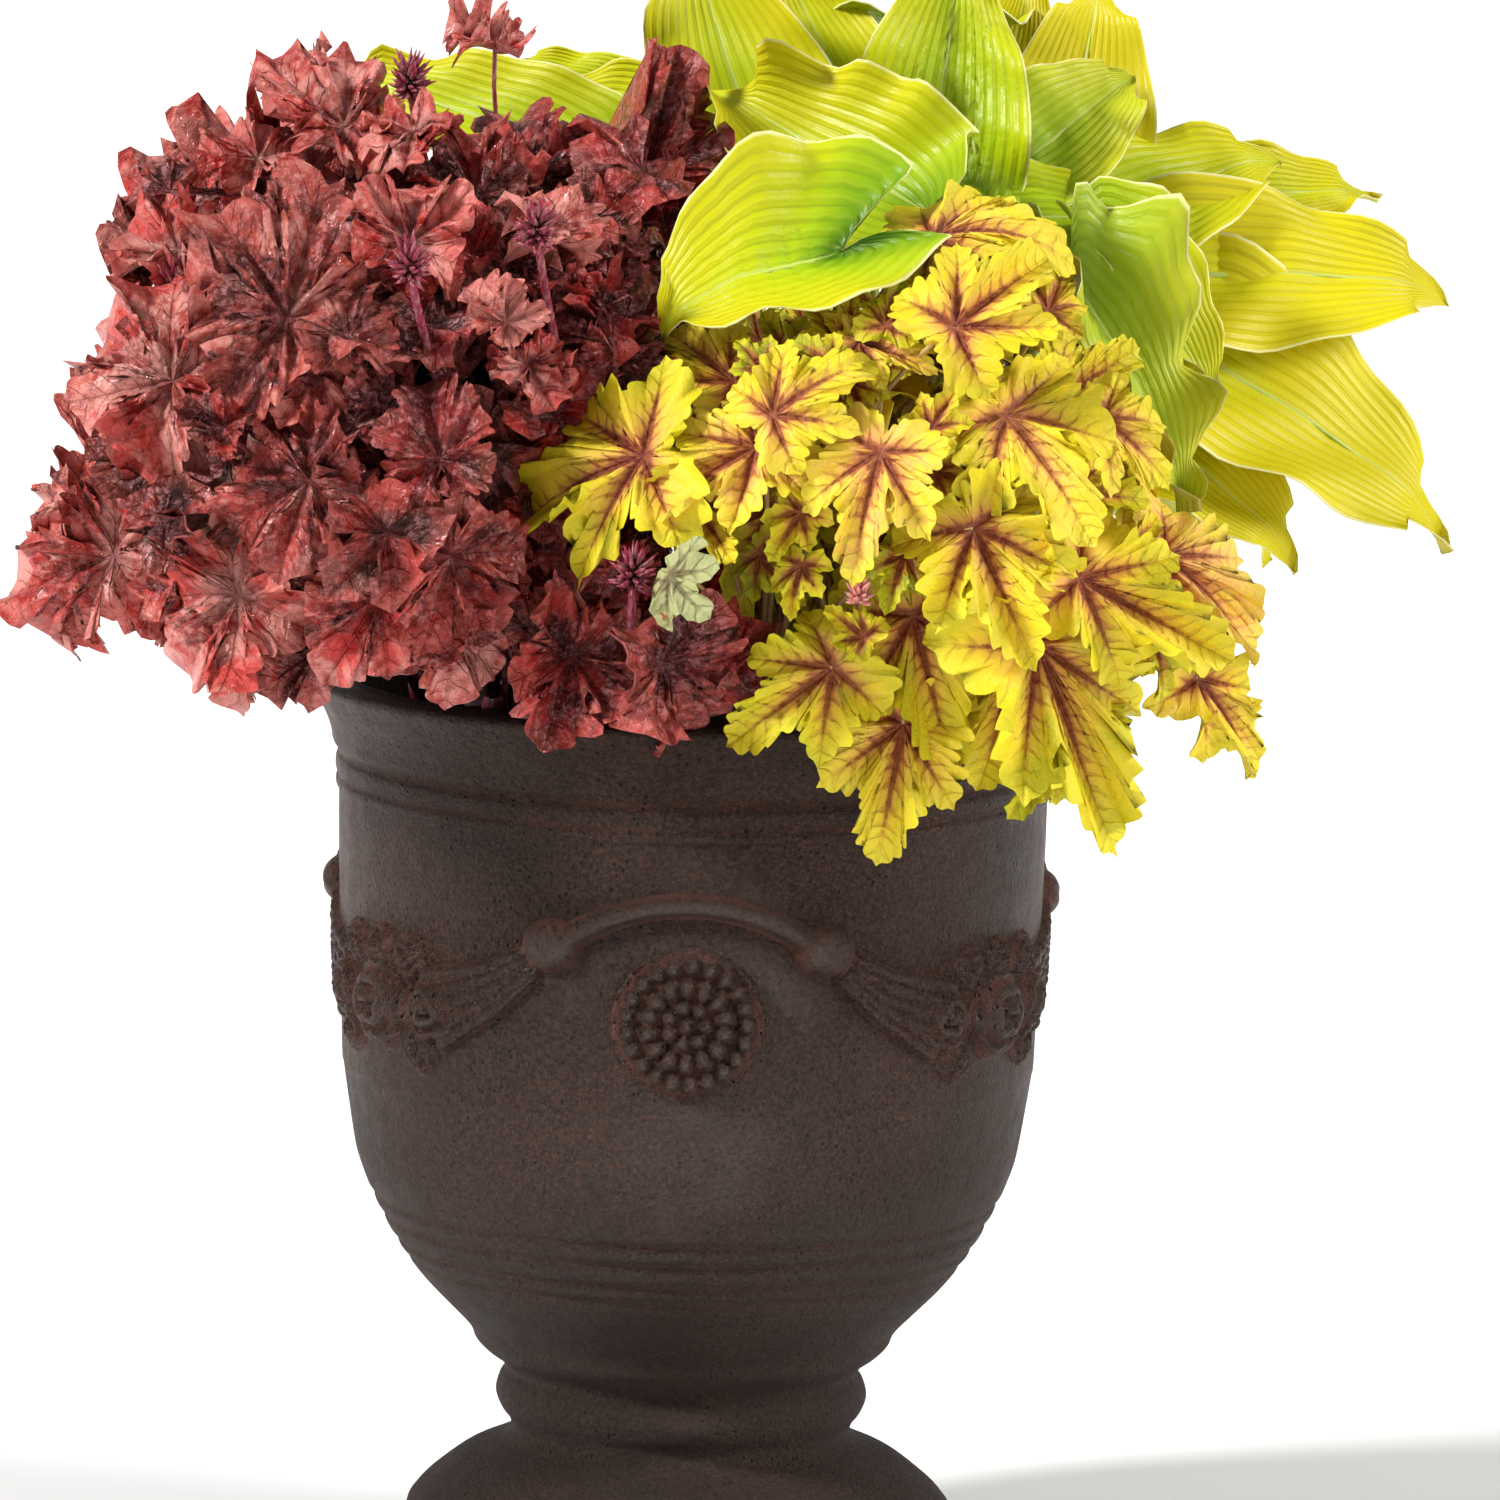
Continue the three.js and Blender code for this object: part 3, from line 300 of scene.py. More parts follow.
def potting_soil():
    """Moist potting soil: nearly black crumbs of 3 to 8 mm with lighter bark and a little shine."""
    m, node, place = material("moist_potting_soil", Roughness=0.85, Specular_IOR_Level=0.3)
    crumbs = node("TexVoronoi", place, 190.0).outputs
    fine = node("TexNoise", place, 400.0, 4.0, 0.7)
    bark = node("MapRange", crumbs["Color"], 0.8, 0.9, 0.0, 0.7)
    tone = node("Mix RGBA", bark, node("Mix RGBA", fine, "#120c09", "#3a281d"), "#5b3f2a")
    return finished(m, node, tone, None, 0.9, 0.004, fine, (crumbs["Distance"], -1.0))


def side_veins(node, place, slant, spacing, width, reach):
    """Side veins of a palm-shaped leaf: lines that leave the nearest main vein at a slant and thin out to
    nothing at a reach, with lengths in metres. Mark 'vein' holds the distance from that vein, the distance
    along it and the place from foot to margin. Gives the first, the last and the strength of the line."""
    off, along, out = mark(node, "vein")
    wavy = node("Math MULTIPLY_ADD", node("TexNoise", place, 45.0, 3.0), 0.016, along)
    step = node("Math MULTIPLY", node("Math MULTIPLY_ADD", off, -slant, wavy), 1 / spacing)
    away = node("Math ABSOLUTE", node("Math SUBTRACT", node("Math FRACT", step), 0.5))
    level = node("Math MULTIPLY_ADD", away, spacing / width, node("Math MULTIPLY", off, 1 / reach))
    return off, out, node("MapRange SMOOTHSTEP", level, 0.35, 1.0, 1.0, 0.0)


def red_leaf():
    """Heuchera leaf: burgundy with painted rosy sheen highlights in fine speckles and patches of painted red
    backlight glow, browner at the foot, leathery with puckers between sunk veins 11 mm apart whose cells
    carry painted light and shade, satin. Mark 'tint' holds tone with painted light and shade, strength of
    the painted backlit red, and brown."""
    m, node, place = material("burgundy_heuchera_leaf", Specular_IOR_Level=1.0, Specular_Tint="#ffc8c4",
                              Sheen_Weight=0.08, Sheen_Roughness=0.3, Sheen_Tint="#ffb4ae")
    off, out, side = side_veins(node, place, 1.0, 0.011, 0.0016, 0.016)
    # the tone mark carries painted light on red leaves to the left and painted shade on leaves under others
    lighter, backlit_red, brown = mark(node, "tint")
    cloud, patchy, mottle = [node("TexNoise", place, *row) for row in (
        (24.0, 5.0, 0.62), (33.0, 3.0, 0.5), (190.0, 4.0, 0.75))]
    main = node("MapRange SMOOTHSTEP", off, 0.0003, 0.0014, 1.0, 0.0)
    quilt = node("TexVoronoi SMOOTH_F1", place, 150.0).outputs["Distance"]
    # the cells of the puckers are painted lighter in the middle and darker at the border: painted light and
    # shade
    cloud_and_pucker_shade = node("Math ADD", node("MapRange", cloud, 0.36, 0.64, 0.5, 1.0),
                    node("MapRange", quilt, 0.2, 0.75, 0.1, -0.16))
    tone = node("ValToRGB", node("Math ADD", cloud_and_pucker_shade, lighter), stops=(
        (0.4, "#180203"), (0.58, "#400606"), (0.72, "#821a12"), (0.86, "#c04436"), (1.0, "#f2a294")))
    veins = node("Math MULTIPLY_ADD", side, 0.35, main, use_clamp=True)
    # patches where a painted red backlight glow shows, as strong as the leaf's backlit red
    backlit_patches = node("MapRange SMOOTHSTEP", patchy, 0.42, 0.6, 0.0, 1.0)
    # painted rosy sheen highlights in fine speckles, then the painted red backlight glow
    for amount, colour in ((node("MapRange", mottle, 0.5, 0.58, 0.0, 0.5), "#e29a9a"),
                           (node("Math MULTIPLY", backlit_patches, backlit_red), "#cc0f08"), (brown, "#6d4a3c"),
                           (node("MapRange", out, 0.0, 0.7, 0.72, 0.0), "#3e0c0a"),
                           (node("MapRange", out, 0.6, 1.0, 0.0, 0.4), "#cc5c50"),
                           (node("Math MULTIPLY", veins, 0.22), "#5a1410")):
        tone = node("Mix RGBA", amount, tone, colour)
    rough = node("MapRange", mottle, 0.3, 0.7, 0.15, 0.31)
    return finished(m, node, tone, rough, 1.0, 0.004, patchy, (quilt, -1.0), (mottle, 0.9),
                    (node("Math MULTIPLY_ADD", main, 0.8, side), -0.3))


def gold_leaf():
    """Heucherella leaf: golden yellow, greener at the rim, apricot round the foot, with wide red-brown main
    veins that feather out before the rim and short side veins 10 mm apart. Softly matt. Mark 'tint' holds
    tone, strength of the veins and grey."""
    m, node, place = material("yellow_heucherella_leaf", Specular_IOR_Level=0.4)
    off, out, side = side_veins(node, place, 0.9, 0.010, 0.0034, 0.013)
    lighter, strength, grey = mark(node, "tint")
    cloud = node("TexNoise", place, 28.0, 5.0, 0.62)
    grain = node("TexNoise", place, 260.0, 4.0, 0.75)
    # the tone mark is darker on leaves under others: painted shade
    dapple = node("Math MULTIPLY_ADD", grain, 0.5, lighter)
    tone = node("ValToRGB", node("Math MULTIPLY_ADD", cloud, 0.9, dapple), stops=(
        (0.34, "#8f9c14"), (0.56, "#d2c618"), (0.75, "#f0d222"), (0.93, "#fbd648"), (1.0, "#f8c05e")))
    # the main vein: 9 mm wide at the foot, nothing at 88 % of the way out, with a ragged border
    level = node("Math DIVIDE", node("Math MULTIPLY_ADD", grain, 0.003, off),
                 node("MapRange", out, 0.02, 0.88, 0.0046, 0.0005))
    main = node("MapRange SMOOTHSTEP", level, 0.7, 1.9, 1.0, 0.0)
    fade = node("MapRange", out, 0.25, 0.9, 1.0, 0.1)
    halo = node("Math MULTIPLY", node("MapRange", level, 1.0, 4.0, 0.55, 0.0), fade)
    both = node("Math MAXIMUM", node("Math MULTIPLY", side, fade), main)
    broken = node("MapRange", grain, 0.35, 0.55, 1.0, 0.75)
    seen = node("Math MULTIPLY", node("Math MULTIPLY", both, strength), broken)
    vein = node("Mix RGBA", grey, node("Mix RGBA", main, "#a83c34", "#741520"), "#3c3420")
    for amount, colour in ((node("MapRange", out, 0.72, 1.0, 0.0, 0.5), "#d8d21a"),
                           (node("MapRange", out, 0.05, 0.72, 0.62, 0.0), "#f2ac62"), (grey, "#a4aa7a"),
                           (node("Math MULTIPLY", halo, node("Math SUBTRACT", 1.0, grey)), "#cc6c46"),
                           (seen, vein)):
        tone = node("Mix RGBA", amount, tone, colour)
    deep = node("Math ADD", node("MapRange SMOOTHSTEP", off, 0.0, 0.0018, 1.0, 0.0), side)
    rough = node("MapRange", grain, 0.3, 0.7, 0.42, 0.6)
    return finished(m, node, tone, rough, 0.7, 0.0014, cloud, (grain, 1.2), (deep, -1.0))


def hosta_leaf_finish():
    """Hosta leaf: chartreuse, green at the foot, yellower outwards to a thin cream rim, satin, with sunk
    lengthwise veins and fine cross wrinkles; the vein furrows are painted darker as shade and the ridges
    between them painted lighter as a highlight. Mark 'blade' holds the place across (-1 to 1), the place
    along and the pucker; mark 'tint' holds yellow, grey bloom and how far the green foot reaches, which on
    the cupped and folded leaves is partly painted shade."""
    m, node, place = material("chartreuse_hosta_leaf", Specular_IOR_Level=0.28)
    across, along, pucker = mark(node, "blade")
    yellow, bloom, green = mark(node, "tint")
    across = node("Math ABSOLUTE", across)
    cloud = node("TexNoise", place, 16.0, 4.0, 0.55)
    grain = node("TexNoise", place, 260.0, 3.0, 0.7)
    wrinkle = node("TexNoise", place, 95.0, 2.0)
    wide, fine = [node("Math SINE", node("Math MULTIPLY", across, math.pi * count)) for count in (8, 40)]
    ridge = node("Math ABSOLUTE", wide)
    before_tip = node("MapRange", along, 0.8, 0.97, 1.0, 0.0)
    vein = node("MapRange SMOOTHSTEP", ridge, 0.0, 0.55, before_tip, 0.0)
    outward = node("Math ADD", node("MapRange", across, 0.0, 0.9, 0.0, 0.2),
                   node("MapRange", along, 0.05, 0.75, 0.0, 0.34))
    drift = node("Math MULTIPLY_ADD", cloud, 0.3, outward)
    # the green foot reaches further on the cupped and folded leaves, partly as painted shade in the cup and
    # fold
    level = node("Math SUBTRACT", drift, node("MapRange SMOOTHSTEP", along, 0.0, 0.5, green, 0.0))
    tone = node("ValToRGB", node("Math ADD", level, yellow), stops=(
        (0.06, "#3f6c06"), (0.28, "#789f08"), (0.5, "#a6be08"), (0.72, "#c8c808"), (0.95, "#d6c608")))
    # painted shade in the vein furrows and a painted highlight on the ridges between them
    for amount, colour in ((bloom, "#a2ac4c"), (node("Math MULTIPLY", vein, 0.17), "#74931a"),
                           (node("MapRange", ridge, 0.7, 1.0, 0.0, 0.1), "#dcdc50"),
                           (node("MapRange", across, 0.012, 0.035, 0.6, 0.0), "#c9d570"),
                           (node("MapRange", across, 0.968, 0.985, 0.0, 0.85), "#efe9a4")):
        tone = node("Mix RGBA", amount, tone, colour)
    rough = node("MapRange", grain, 0.3, 0.7, 0.34, 0.5)
    return finished(m, node, tone, rough, 0.38, 0.0022, ridge, (fine, 0.1), (wrinkle, pucker), (grain, 0.25))


def stalk_finish(name, low, high, rough):
    """Living stalk, softly shiny, streaked along its length: one colour low down, another at the top.
    Mark 'tint' holds the place along it."""
    m, node, place = material(name, Roughness=rough, Specular_IOR_Level=0.45)
    streak = node("TexNoise", node("Mapping", place, None, None, (1.0, 1.0, 0.12)), 500.0, 2.0)
    tone = node("Mix RGBA", node("MapRange", streak, 0.45, 0.7, 0.0, 0.35),
                node("Mix RGBA", mark(node, "tint")[0], low, high), "#d9b9a8")
    return finished(m, node, tone, None, 0.4, 0.0006, streak)


STONE, SOIL = cast_stone(), potting_soil()
RED_LEAF, GOLD_LEAF, HOSTA_LEAF = red_leaf(), gold_leaf(), hosta_leaf_finish()
RED_STALK = stalk_finish("heuchera_petiole", "#5c1830", "#8a3040", 0.4)
GOLD_STALK = stalk_finish("heucherella_petiole", "#a88a52", "#c9a860", 0.5)
HOSTA_STALK = stalk_finish("hosta_petiole", "#a9c46a", "#bccf52", 0.35)
SPIKE_STALK = stalk_finish("flower_spike_stem", "#5c1030", "#86203f", 0.4)
BUD = stalk_finish("magenta_bract", "#4a0a1c", "#a02347", 0.4)
CORAL = stalk_finish("coral_floret", "#b8413c", "#eda296", 0.5)

# ---------------------------------------------------------------- urn
# profiles as radius and height; grooves as height, width and depth
OUTSIDE = [
    (0, 0), (160, 0), (165, 4), (165, 28), (160.5, 37), (152, 46), (134, 60), (119, 67), (107, 73),
    (102.6, 79), (104, 85), (108.6, 91), (112, 100), (110, 109), (106.5, 115.5), (110.7, 121.5),
    (119, 127.5), (125, 133.6), (127.5, 139.7), (132, 145.8), (144, 158), (155.7, 170), (165.6, 182),
    (174, 194.3), (181, 206.5), (187, 218.6), (190, 224.7), (197, 243), (200, 255), (204, 279.4),
    (207.6, 303.7), (208.5, 315.8), (212, 431), (212.7, 467), (214.5, 471), (214.9, 484), (214.5, 492),
    (217, 498), (218, 504), (220, 510), (222.6, 516.2), (226, 522), (231, 531), (233, 535), (232, 538),
    (229, 539)]
INSIDE = [(214, 539), (211, 536), (203, 490), (184, 310), (141, 195), (94, 150), (0, 150)]
GROOVES = [(490.7, 2.4, 1.6), (477, 2.2, 1.4), (223.5, 2.6, 2.2), (210.7, 2.6, 2.2), (196.2, 2.6, 2.2),
           (185.8, 2.4, 1.8)]
FLARE_Z, FLOOR_Z = 530, 150
# the belt of ornament: radius and height of its middle, and the wall's length for one degree of turn
BELT_R, BELT_Z = 212, 362
DEGREE = math.pi * BELT_R / 180


def wall_radius(z):
    """Outside radius of the plain wall at heights z."""
    r, up = np.array(OUTSIDE[1:]).T
    return np.interp(z, up, r)


def in_third(turn):
    """Length round the wall from the middle of the nearest third of the belt."""
    return ((turn + THIRD_TURN / 2) % THIRD_TURN - THIRD_TURN / 2)[None] * BELT_R


def turned_urn(columns=168):
    """Profile of radius and height turned about Z; each groove takes depth * exp(-(dz/width)^2) off the
    radius, and hand finishing leaves the radius within a third of a millimetre of true. The mark says how
    deep a place lies in a groove or beside the ornament."""
    low = smooth(OUTSIDE[1:], 190)
    close = np.sort(np.concatenate([np.linspace(z - 2.5 * w, z + 2.5 * w, 9) for z, w, _ in GROOVES]))
    close = close[close < 500]
    flare = low[:, 1] > FLARE_Z
    body = np.vstack([low[~flare], np.stack([np.interp(close, low[:, 1], low[:, 0]), close], 1)])
    body = body[np.argsort(body[:, 1], kind="stable")]
    body = body[np.concatenate([[True], np.diff(body[:, 1]) > 0.35])]
    profile = np.vstack([body, low[flare], smooth(INSIDE[:-1], 26)])
    rows = len(profile)
    outer = np.arange(rows) < len(body)
    height = profile[:, 1:]
    for z, w, deep in GROOVES:
        cut = deep * np.exp(-((profile[:, 1] - z) / w) ** 2)
        profile[:, 0] -= np.where(profile[:, 0] > 100, cut, 0) * outer
    i, j, turn = around(columns)
    r = profile[:, :1] + 0.3 * wander(turn[None] * 3, 5) * (height > 6) * (height < FLARE_Z)
    z = np.broadcast_to(height, r.shape)
    points = np.vstack([turned(r, turn, z).reshape(-1, 3), [0, 0, 0], [0, 0, FLOOR_Z]])
    groove = sum(np.exp(-((profile[:, 1] - z0) / (1.6 * w)) ** 2) for z0, w, _ in GROOVES) * outer
    beside = np.clip(1 + belt_height(in_third(turn) + 0 * z, z), 0, 1)
    beside = np.where(outer[:, None] & (z > 300) & (z < 452), 0.45 * beside, 0)
    hollow = np.maximum(0.7 * np.clip(groove, 0, 1)[:, None], beside).ravel()
    hollow = np.concatenate([hollow, [0, 0]])
    middle, last = rows * columns, (rows - 1) * columns
    tris = np.vstack([fan(middle, j, i), fan(middle + 1, last + i, last + j)])
    flag = (np.arange(len(points)) < columns).astype(int)
    mark_of = np.stack([hollow, 0 * hollow, hollow], 1)
    return patch(points, grid_faces(rows, columns, wrap=True), tris, flag, hollow=mark_of)


def hump(q):
    """Height of a rounded moulding, 1 in the middle, 0 at its border (q = 1) and below the wall outside."""
    return np.where(q < 1, (1 - np.minimum(q, 1) ** 2.6) ** 0.8, 0.9 - 0.9 * q)


def to_path(x, y, path):
    """Distance of points from a bent line, and the place along it in mm."""
    best, along, run = np.full(x.shape, 1e9), np.zeros(x.shape), 0.0
    for (x0, y0), (x1, y1) in zip(path[:-1], path[1:]):
        dx, dy = x1 - x0, y1 - y0
        long = math.hypot(dx, dy)
        t = np.clip(((x - x0) * dx + (y - y0) * dy) / long**2, 0, 1)
        d = np.hypot(x - x0 - t * dx, y - y0 - t * dy)
        near = d < best
        best, along = np.where(near, d, best), np.where(near, run + t * long, along)
        run += long
    return best, along


def rose(x, y, cx, cz, size, seed, top):
    """Open rose in low relief: a cushion with a border of five round petals, carved by a furrow that winds
    inwards, once round for each 0.42 of the radius, and dips a little at each petal."""
    dx, dy = x - cx, y - cz
    r, a = np.hypot(dx, dy) / size, np.arctan2(dy, dx)
    border = 0.84 + 0.16 * np.abs(np.cos(2.5 * a + seed))
    wind = r / 0.42 + a / (2 * np.pi) + 0.14 * np.cos(3 * a + 2 * seed)
    crest = 1 - 0.5 * np.abs(np.cos(np.pi * wind)) ** 4
    return top * (hump(r / border) * crest + 0.10 * np.exp(-((r / 0.2) ** 2)))


# rings of beads on the medallion: radius, count, half sizes outwards and around, height of a bead
BEADS = [(11, 7, 4.9, 4.8, 4.4), (22.5, 14, 7.0, 5.2, 4.8), (35.5, 21, 5.8, 5.4, 4.2)]
# roses, the large ones over the small ones: degrees from the medallion, height, radius, seed, relief
ROSES = [(49, 331, 15, 17, 7), (51.5, 386, 15, 29, 8), (60, 390, 12, 31, 7), (46, 356, 22, 3, 11),
         (59.5, 354, 28, 11, 14)]


def belt_height(x, z):
    """Relief of one third of the belt, x in mm round the wall from the medallion's middle, negative where
    the wall is plain. The highest of its parts shows: every part is top * hump(distance / half width)."""
    a = np.abs(x)
    # medallion: a low dome in a fine groove, with rings of beads about a middle bead
    r, ang = np.hypot(x, z - BELT_Z), np.arctan2(z - BELT_Z, x)
    h = 4.0 * hump((r / 47) ** 5) - 2.2 * np.exp(-(((r - 43.4) / 1.3) ** 2))
    beads = [4.2 * hump(r / 5.0)]
    for ring, count, wide_r, wide_a, top in BEADS:
        step = 2 * np.pi / count
        phase = (ang / step + 0.5 * (count % 2)) % 1 - 0.5
        beads.append(top * hump(np.hypot((r - ring) / wide_r, phase * step * ring / wide_a)))
    h = np.where(r < 43, h + np.clip(np.max(beads, 0), -0.9, None), h)
    # arch: a plain rounded band that swells into a drop at both ends
    d, _ = to_path(x, z, [(d * DEGREE, 433 - 0.06 * d * d) for d in range(-22, 23, 2)])
    h = np.maximum(h, 8.5 * hump(d / (7.4 + 1.6 * np.clip((a / DEGREE - 12) / 10, 0, 1))))
    p, q = a - 22.5 * DEGREE, z - 405
    h = np.maximum(h, 12.5 * hump(np.hypot(p / 18.5, q / 16.0) * (1 - 0.12 * np.clip(-p / 18, 0, 1))))
    # five reeds that fan out on their way down to the roses
    for k in range(5):
        reed = [(25, 404 - 4.6 * k), (34 - 0.4 * k, 388 - 6.6 * k), (47 - 1.0 * k, 376 - 9.4 * k)]
        d, along = to_path(a, z, [(degrees * DEGREE, up) for degrees, up in reed])
        h = np.maximum(h, (5.6 + 0.5 * np.cos(along * 0.5 + k)) * hump(d / (3.1 + 0.03 * along)))
    for degrees, up, size, seed, top in ROSES:
        h = np.maximum(h, rose(a, z, degrees * DEGREE, up, size, seed, top))
    return h


def belt(columns=810):
    """Ornament belt as a height field on the wall: only the raised cells are kept, backed by a copy
    4 mm inside the wall and closed round its borders."""
    z = np.arange(306, 446, 1.5)[:, None]
    turn = around(columns)[2]
    h = belt_height(in_third(turn) + 0 * z, z + 0 * turn[None])
    h = np.clip(h + 0.35 * wander(turn[None] * 40 + z * 0.21, 3) * (h > 0.5), -2.5, None)
    wall = wall_radius(z)
    front, back = (turned(wall + rise, turn, z).reshape(-1, 3) for rise in (h, -4.0 + 0 * h))
    quads = grid_faces(len(z), columns, wrap=True)
    quads = quads[(h > -0.4).ravel()[quads].any(1)]
    # sides that belong to one kept cell alone are the border
    pairs = np.concatenate([quads[:, [k, (k + 1) % 4]] for k in range(4)])
    key = np.sort(pairs, 1)
    _, first, count = np.unique(key[:, 0] * h.size + key[:, 1], return_index=True, return_counts=True)
    rim = pairs[first[count == 1]]
    sides = np.stack([rim[:, 1], rim[:, 0], rim[:, 0] + h.size, rim[:, 1] + h.size], 1)
    used, index = np.unique(np.vstack([quads, quads[:, ::-1] + h.size, sides]), return_inverse=True)
    # rust stain and painted shade gather low in the relief, where the height is far under its neighbourhood;
    # crests carry a painted highlight
    h = np.clip(h, 0, None)
    wide = h.copy()
    for k in (1, 2, 3):
        wide = np.maximum(wide, np.maximum(np.roll(h, k, 1), np.roll(h, -k, 1)))
        wide[k:] = np.maximum(wide[k:], h[:-k])
        wide[:-k] = np.maximum(wide[:-k], h[k:])
    hollow = np.clip((wide - h - 0.8) / 3.0, 0, 0.9).ravel()
    high = np.clip((h - 3) / 8, 0, 1).ravel()
    mark_of = np.stack([np.concatenate([m, 0 * m])[used] for m in (hollow, high, hollow)], 1)
    return patch(np.vstack([front, back])[used], index.reshape(-1, 4), hollow=mark_of)


def soil_fill(columns=96):
    """Soil: a disc that rises 14 mm to the middle with clods of 2 to 4 mm, then down the inside of the
    urn to its floor."""
    top, floor = 522, 151
    wall = [(202.0, 490), (183.0, 310), (140.0, 195), (92.0, floor), (0.01, floor)]
    r = np.concatenate([np.linspace(2, 202, 56), [p[0] for p in wall]])[:, None]
    z = np.concatenate([top - 14 * np.linspace(0.01, 1, 56) ** 1.4, [p[1] for p in wall]])[:, None]
    i, j, turn = around(columns)
    x, y = r * np.sin(turn), -r * np.cos(turn)
    clods = wander(x * 0.11 + 3 * wander(y * 0.05, 2), 7) + 0.7 * wander(y * 0.23 + x * 0.13, 8)
    z = z + 1.6 * clods * (np.arange(len(r)) < 54)[:, None]
    points = np.vstack([np.stack([x, y, z], -1).reshape(-1, 3), [0, 0, top + 1], [0, 0, floor]])
    middle, last = len(r) * columns, (len(r) - 1) * columns
    tris = np.vstack([fan(middle, i, j), fan(middle + 1, last + j, last + i)])
    return patch(points, grid_faces(len(r), columns, wrap=True)[:, ::-1], tris)


piece("urn_body", [turned_urn()], STONE, ["urn"])
piece("urn_belt", [belt()], STONE)
piece("potting_soil", [soil_fill()], SOIL, ["soil"])

# ---------------------------------------------------------------- where the leaves are
# the same rules as the solids: places in a front drawing, in steps of 0.6 mm across and down from its upper
# left corner, seen from 8.9 degrees up and turned by 1.2
LOOK_DOWN, ROLL = math.radians(8.9), math.radians(1.2)
DRAW_STEP, DRAW_FOOT = 0.6, (677.2, 1560)
SLOPE = math.tan(LOOK_DOWN)
DRAW_UP = DRAW_STEP / math.cos(LOOK_DOWN)
RIM_Z, RIM_R, SOIL_Z = 539, 233, 508
CROWN_R, CLEAR = 15, 0.8
SIGHT = vec(0, 1, -SLOPE)


def sight(u, v, y):
    """Place on the sight line through a drawing point, at a depth y."""
    across, down = u - DRAW_FOOT[0], v - DRAW_FOOT[1]
    c, s = math.cos(ROLL), math.sin(ROLL)
    return vec((across * c + down * s) * DRAW_STEP, y, (across * s - down * c) * DRAW_UP - y * SLOPE)


def on_plane(u, v, mid, face):
    """Where the sight line through a drawing point meets the plane of a leaf."""
    p = sight(u, v, mid[1])
    return p + SIGHT * ((mid - p).dot(face) / SIGHT.dot(face))


def drawn_leaf(row, depth, face0):
    """Leaf from its drawn petiole end and tip, the depth of its middle and the way it faces. It is turned to
    the front until it is less than 1.45 times as long as it is drawn."""
    u0, v0, u1, v1 = row[:4]
    flat = math.hypot(u1 - u0, v1 - v0) * DRAW_STEP
    face = unit(face0)
    for _ in range(12):
        mid = sight(u0 + 0.4 * (u1 - u0), v0 + 0.4 * (v1 - v0), depth)
        foot, tip = on_plane(u0, v0, mid, face), on_plane(u1, v1, mid, face)
        length = np.linalg.norm(tip - foot)
        if length < 1.45 * flat:
            break
        face = unit(face + vec(0, -0.25, 0.04))
    return SimpleNamespace(foot=foot, mid=mid, face=face, rib=(tip - foot) / length, len=length, line=SIGHT)


def free_leaf(mid, face0, toward, length):
    """Leaf placed freely: its middle, the way it faces and a direction its tip leans to."""
    face = unit(face0)
    rib = unit(toward - face * toward.dot(face))
    return SimpleNamespace(foot=mid - 0.4 * length * rib, mid=mid, face=face, rib=rib, len=length, line=-face)


# two leaves side by side are kept this far apart, within this part of their half widths together
LAYER, OVERLAP = 14, 0.8


def over_oval(leaf, p, d):
    """Part of the line p + t d that lies over a leaf taken as a flat oval."""
    q = p - leaf.middle
    x, y = q.dot(leaf.rib) / leaf.oval[0], q.dot(leaf.side) / leaf.oval[1]
    dx, dy = d.dot(leaf.rib) / leaf.oval[0], d.dot(leaf.side) / leaf.oval[1]
    a, b, c = dx * dx + dy * dy, x * dx + y * dy, x * x + y * y - 1
    root = b * b - a * c
    return ((-b - math.sqrt(root)) / a, (-b + math.sqrt(root)) / a) if root > 0 else None


def leaves_cross(a, b):
    """Do two leaves cross, or lie closer over one another than their waves allow."""
    between = a.middle - b.middle
    gap = math.sqrt(between.dot(between))
    if gap > max(a.oval) + max(b.oval):
        return False
    line = np.cross(a.face, b.face)
    s = math.sqrt(line.dot(line))
    close = abs(between.dot(a.face)) < LAYER and abs(between.dot(b.face)) < LAYER
    if close and gap < OVERLAP * (a.oval[1] + b.oval[1]):
        return True
    if s < 0.08:
        return False
    k = a.face.dot(b.face)
    ha, hb = a.face.dot(a.middle), b.face.dot(b.middle)
    p = a.face * ((ha - hb * k) / (1 - k * k)) + b.face * ((hb - ha * k) / (1 - k * k))
    ra, rb = over_oval(a, p, line / s), over_oval(b, p, line / s)
    return bool(ra and rb and ra[0] < rb[1] and rb[0] < ra[1])


STEPS = [0, 9, -9, 18, 27, -18, 36, -27, 45, 54, -36, 63, 72, 81, 90]


def settle(leaf, placed):
    """A leaf moves along its own line, by near steps first, to cross as few placed leaves as it can."""
    best, least = leaf, math.inf
    for step in STEPS:
        moved = vary(leaf, foot=leaf.foot + leaf.line * step, middle=leaf.middle + leaf.line * step)
        count = sum(leaves_cross(moved, o) for o in placed)
        if count < least:
            best, least = moved, count
        if least == 0:
            break
    return best


# blade outlines, right half from tip to petiole: degrees from the rib, distance and lift over the length
RED_EDGE = [(0, 1, -0.1), (26, 0.72, 0.04), (51, 0.94, -0.08), (80, 0.64, 0.06), (108, 0.8, -0.08),
            (142, 0.56, 0.03), (180, 0.13, 0)]
GOLD_EDGE = [(0, 1, -0.1), (16, 0.73, 0.02), (31, 0.45, 0.05), (51, 0.88, -0.08), (75, 0.43, 0.05),
             (103, 0.72, -0.08), (140, 0.42, 0.02), (180, 0.11, 0)]
HOSTA_EDGE = [(0, 1, 0), (17, 0.82, 0.015), (38, 0.65, -0.02), (70, 0.53, 0.025), (108, 0.49, -0.02),
              (145, 0.4, 0.01), (180, 0.09, 0)]
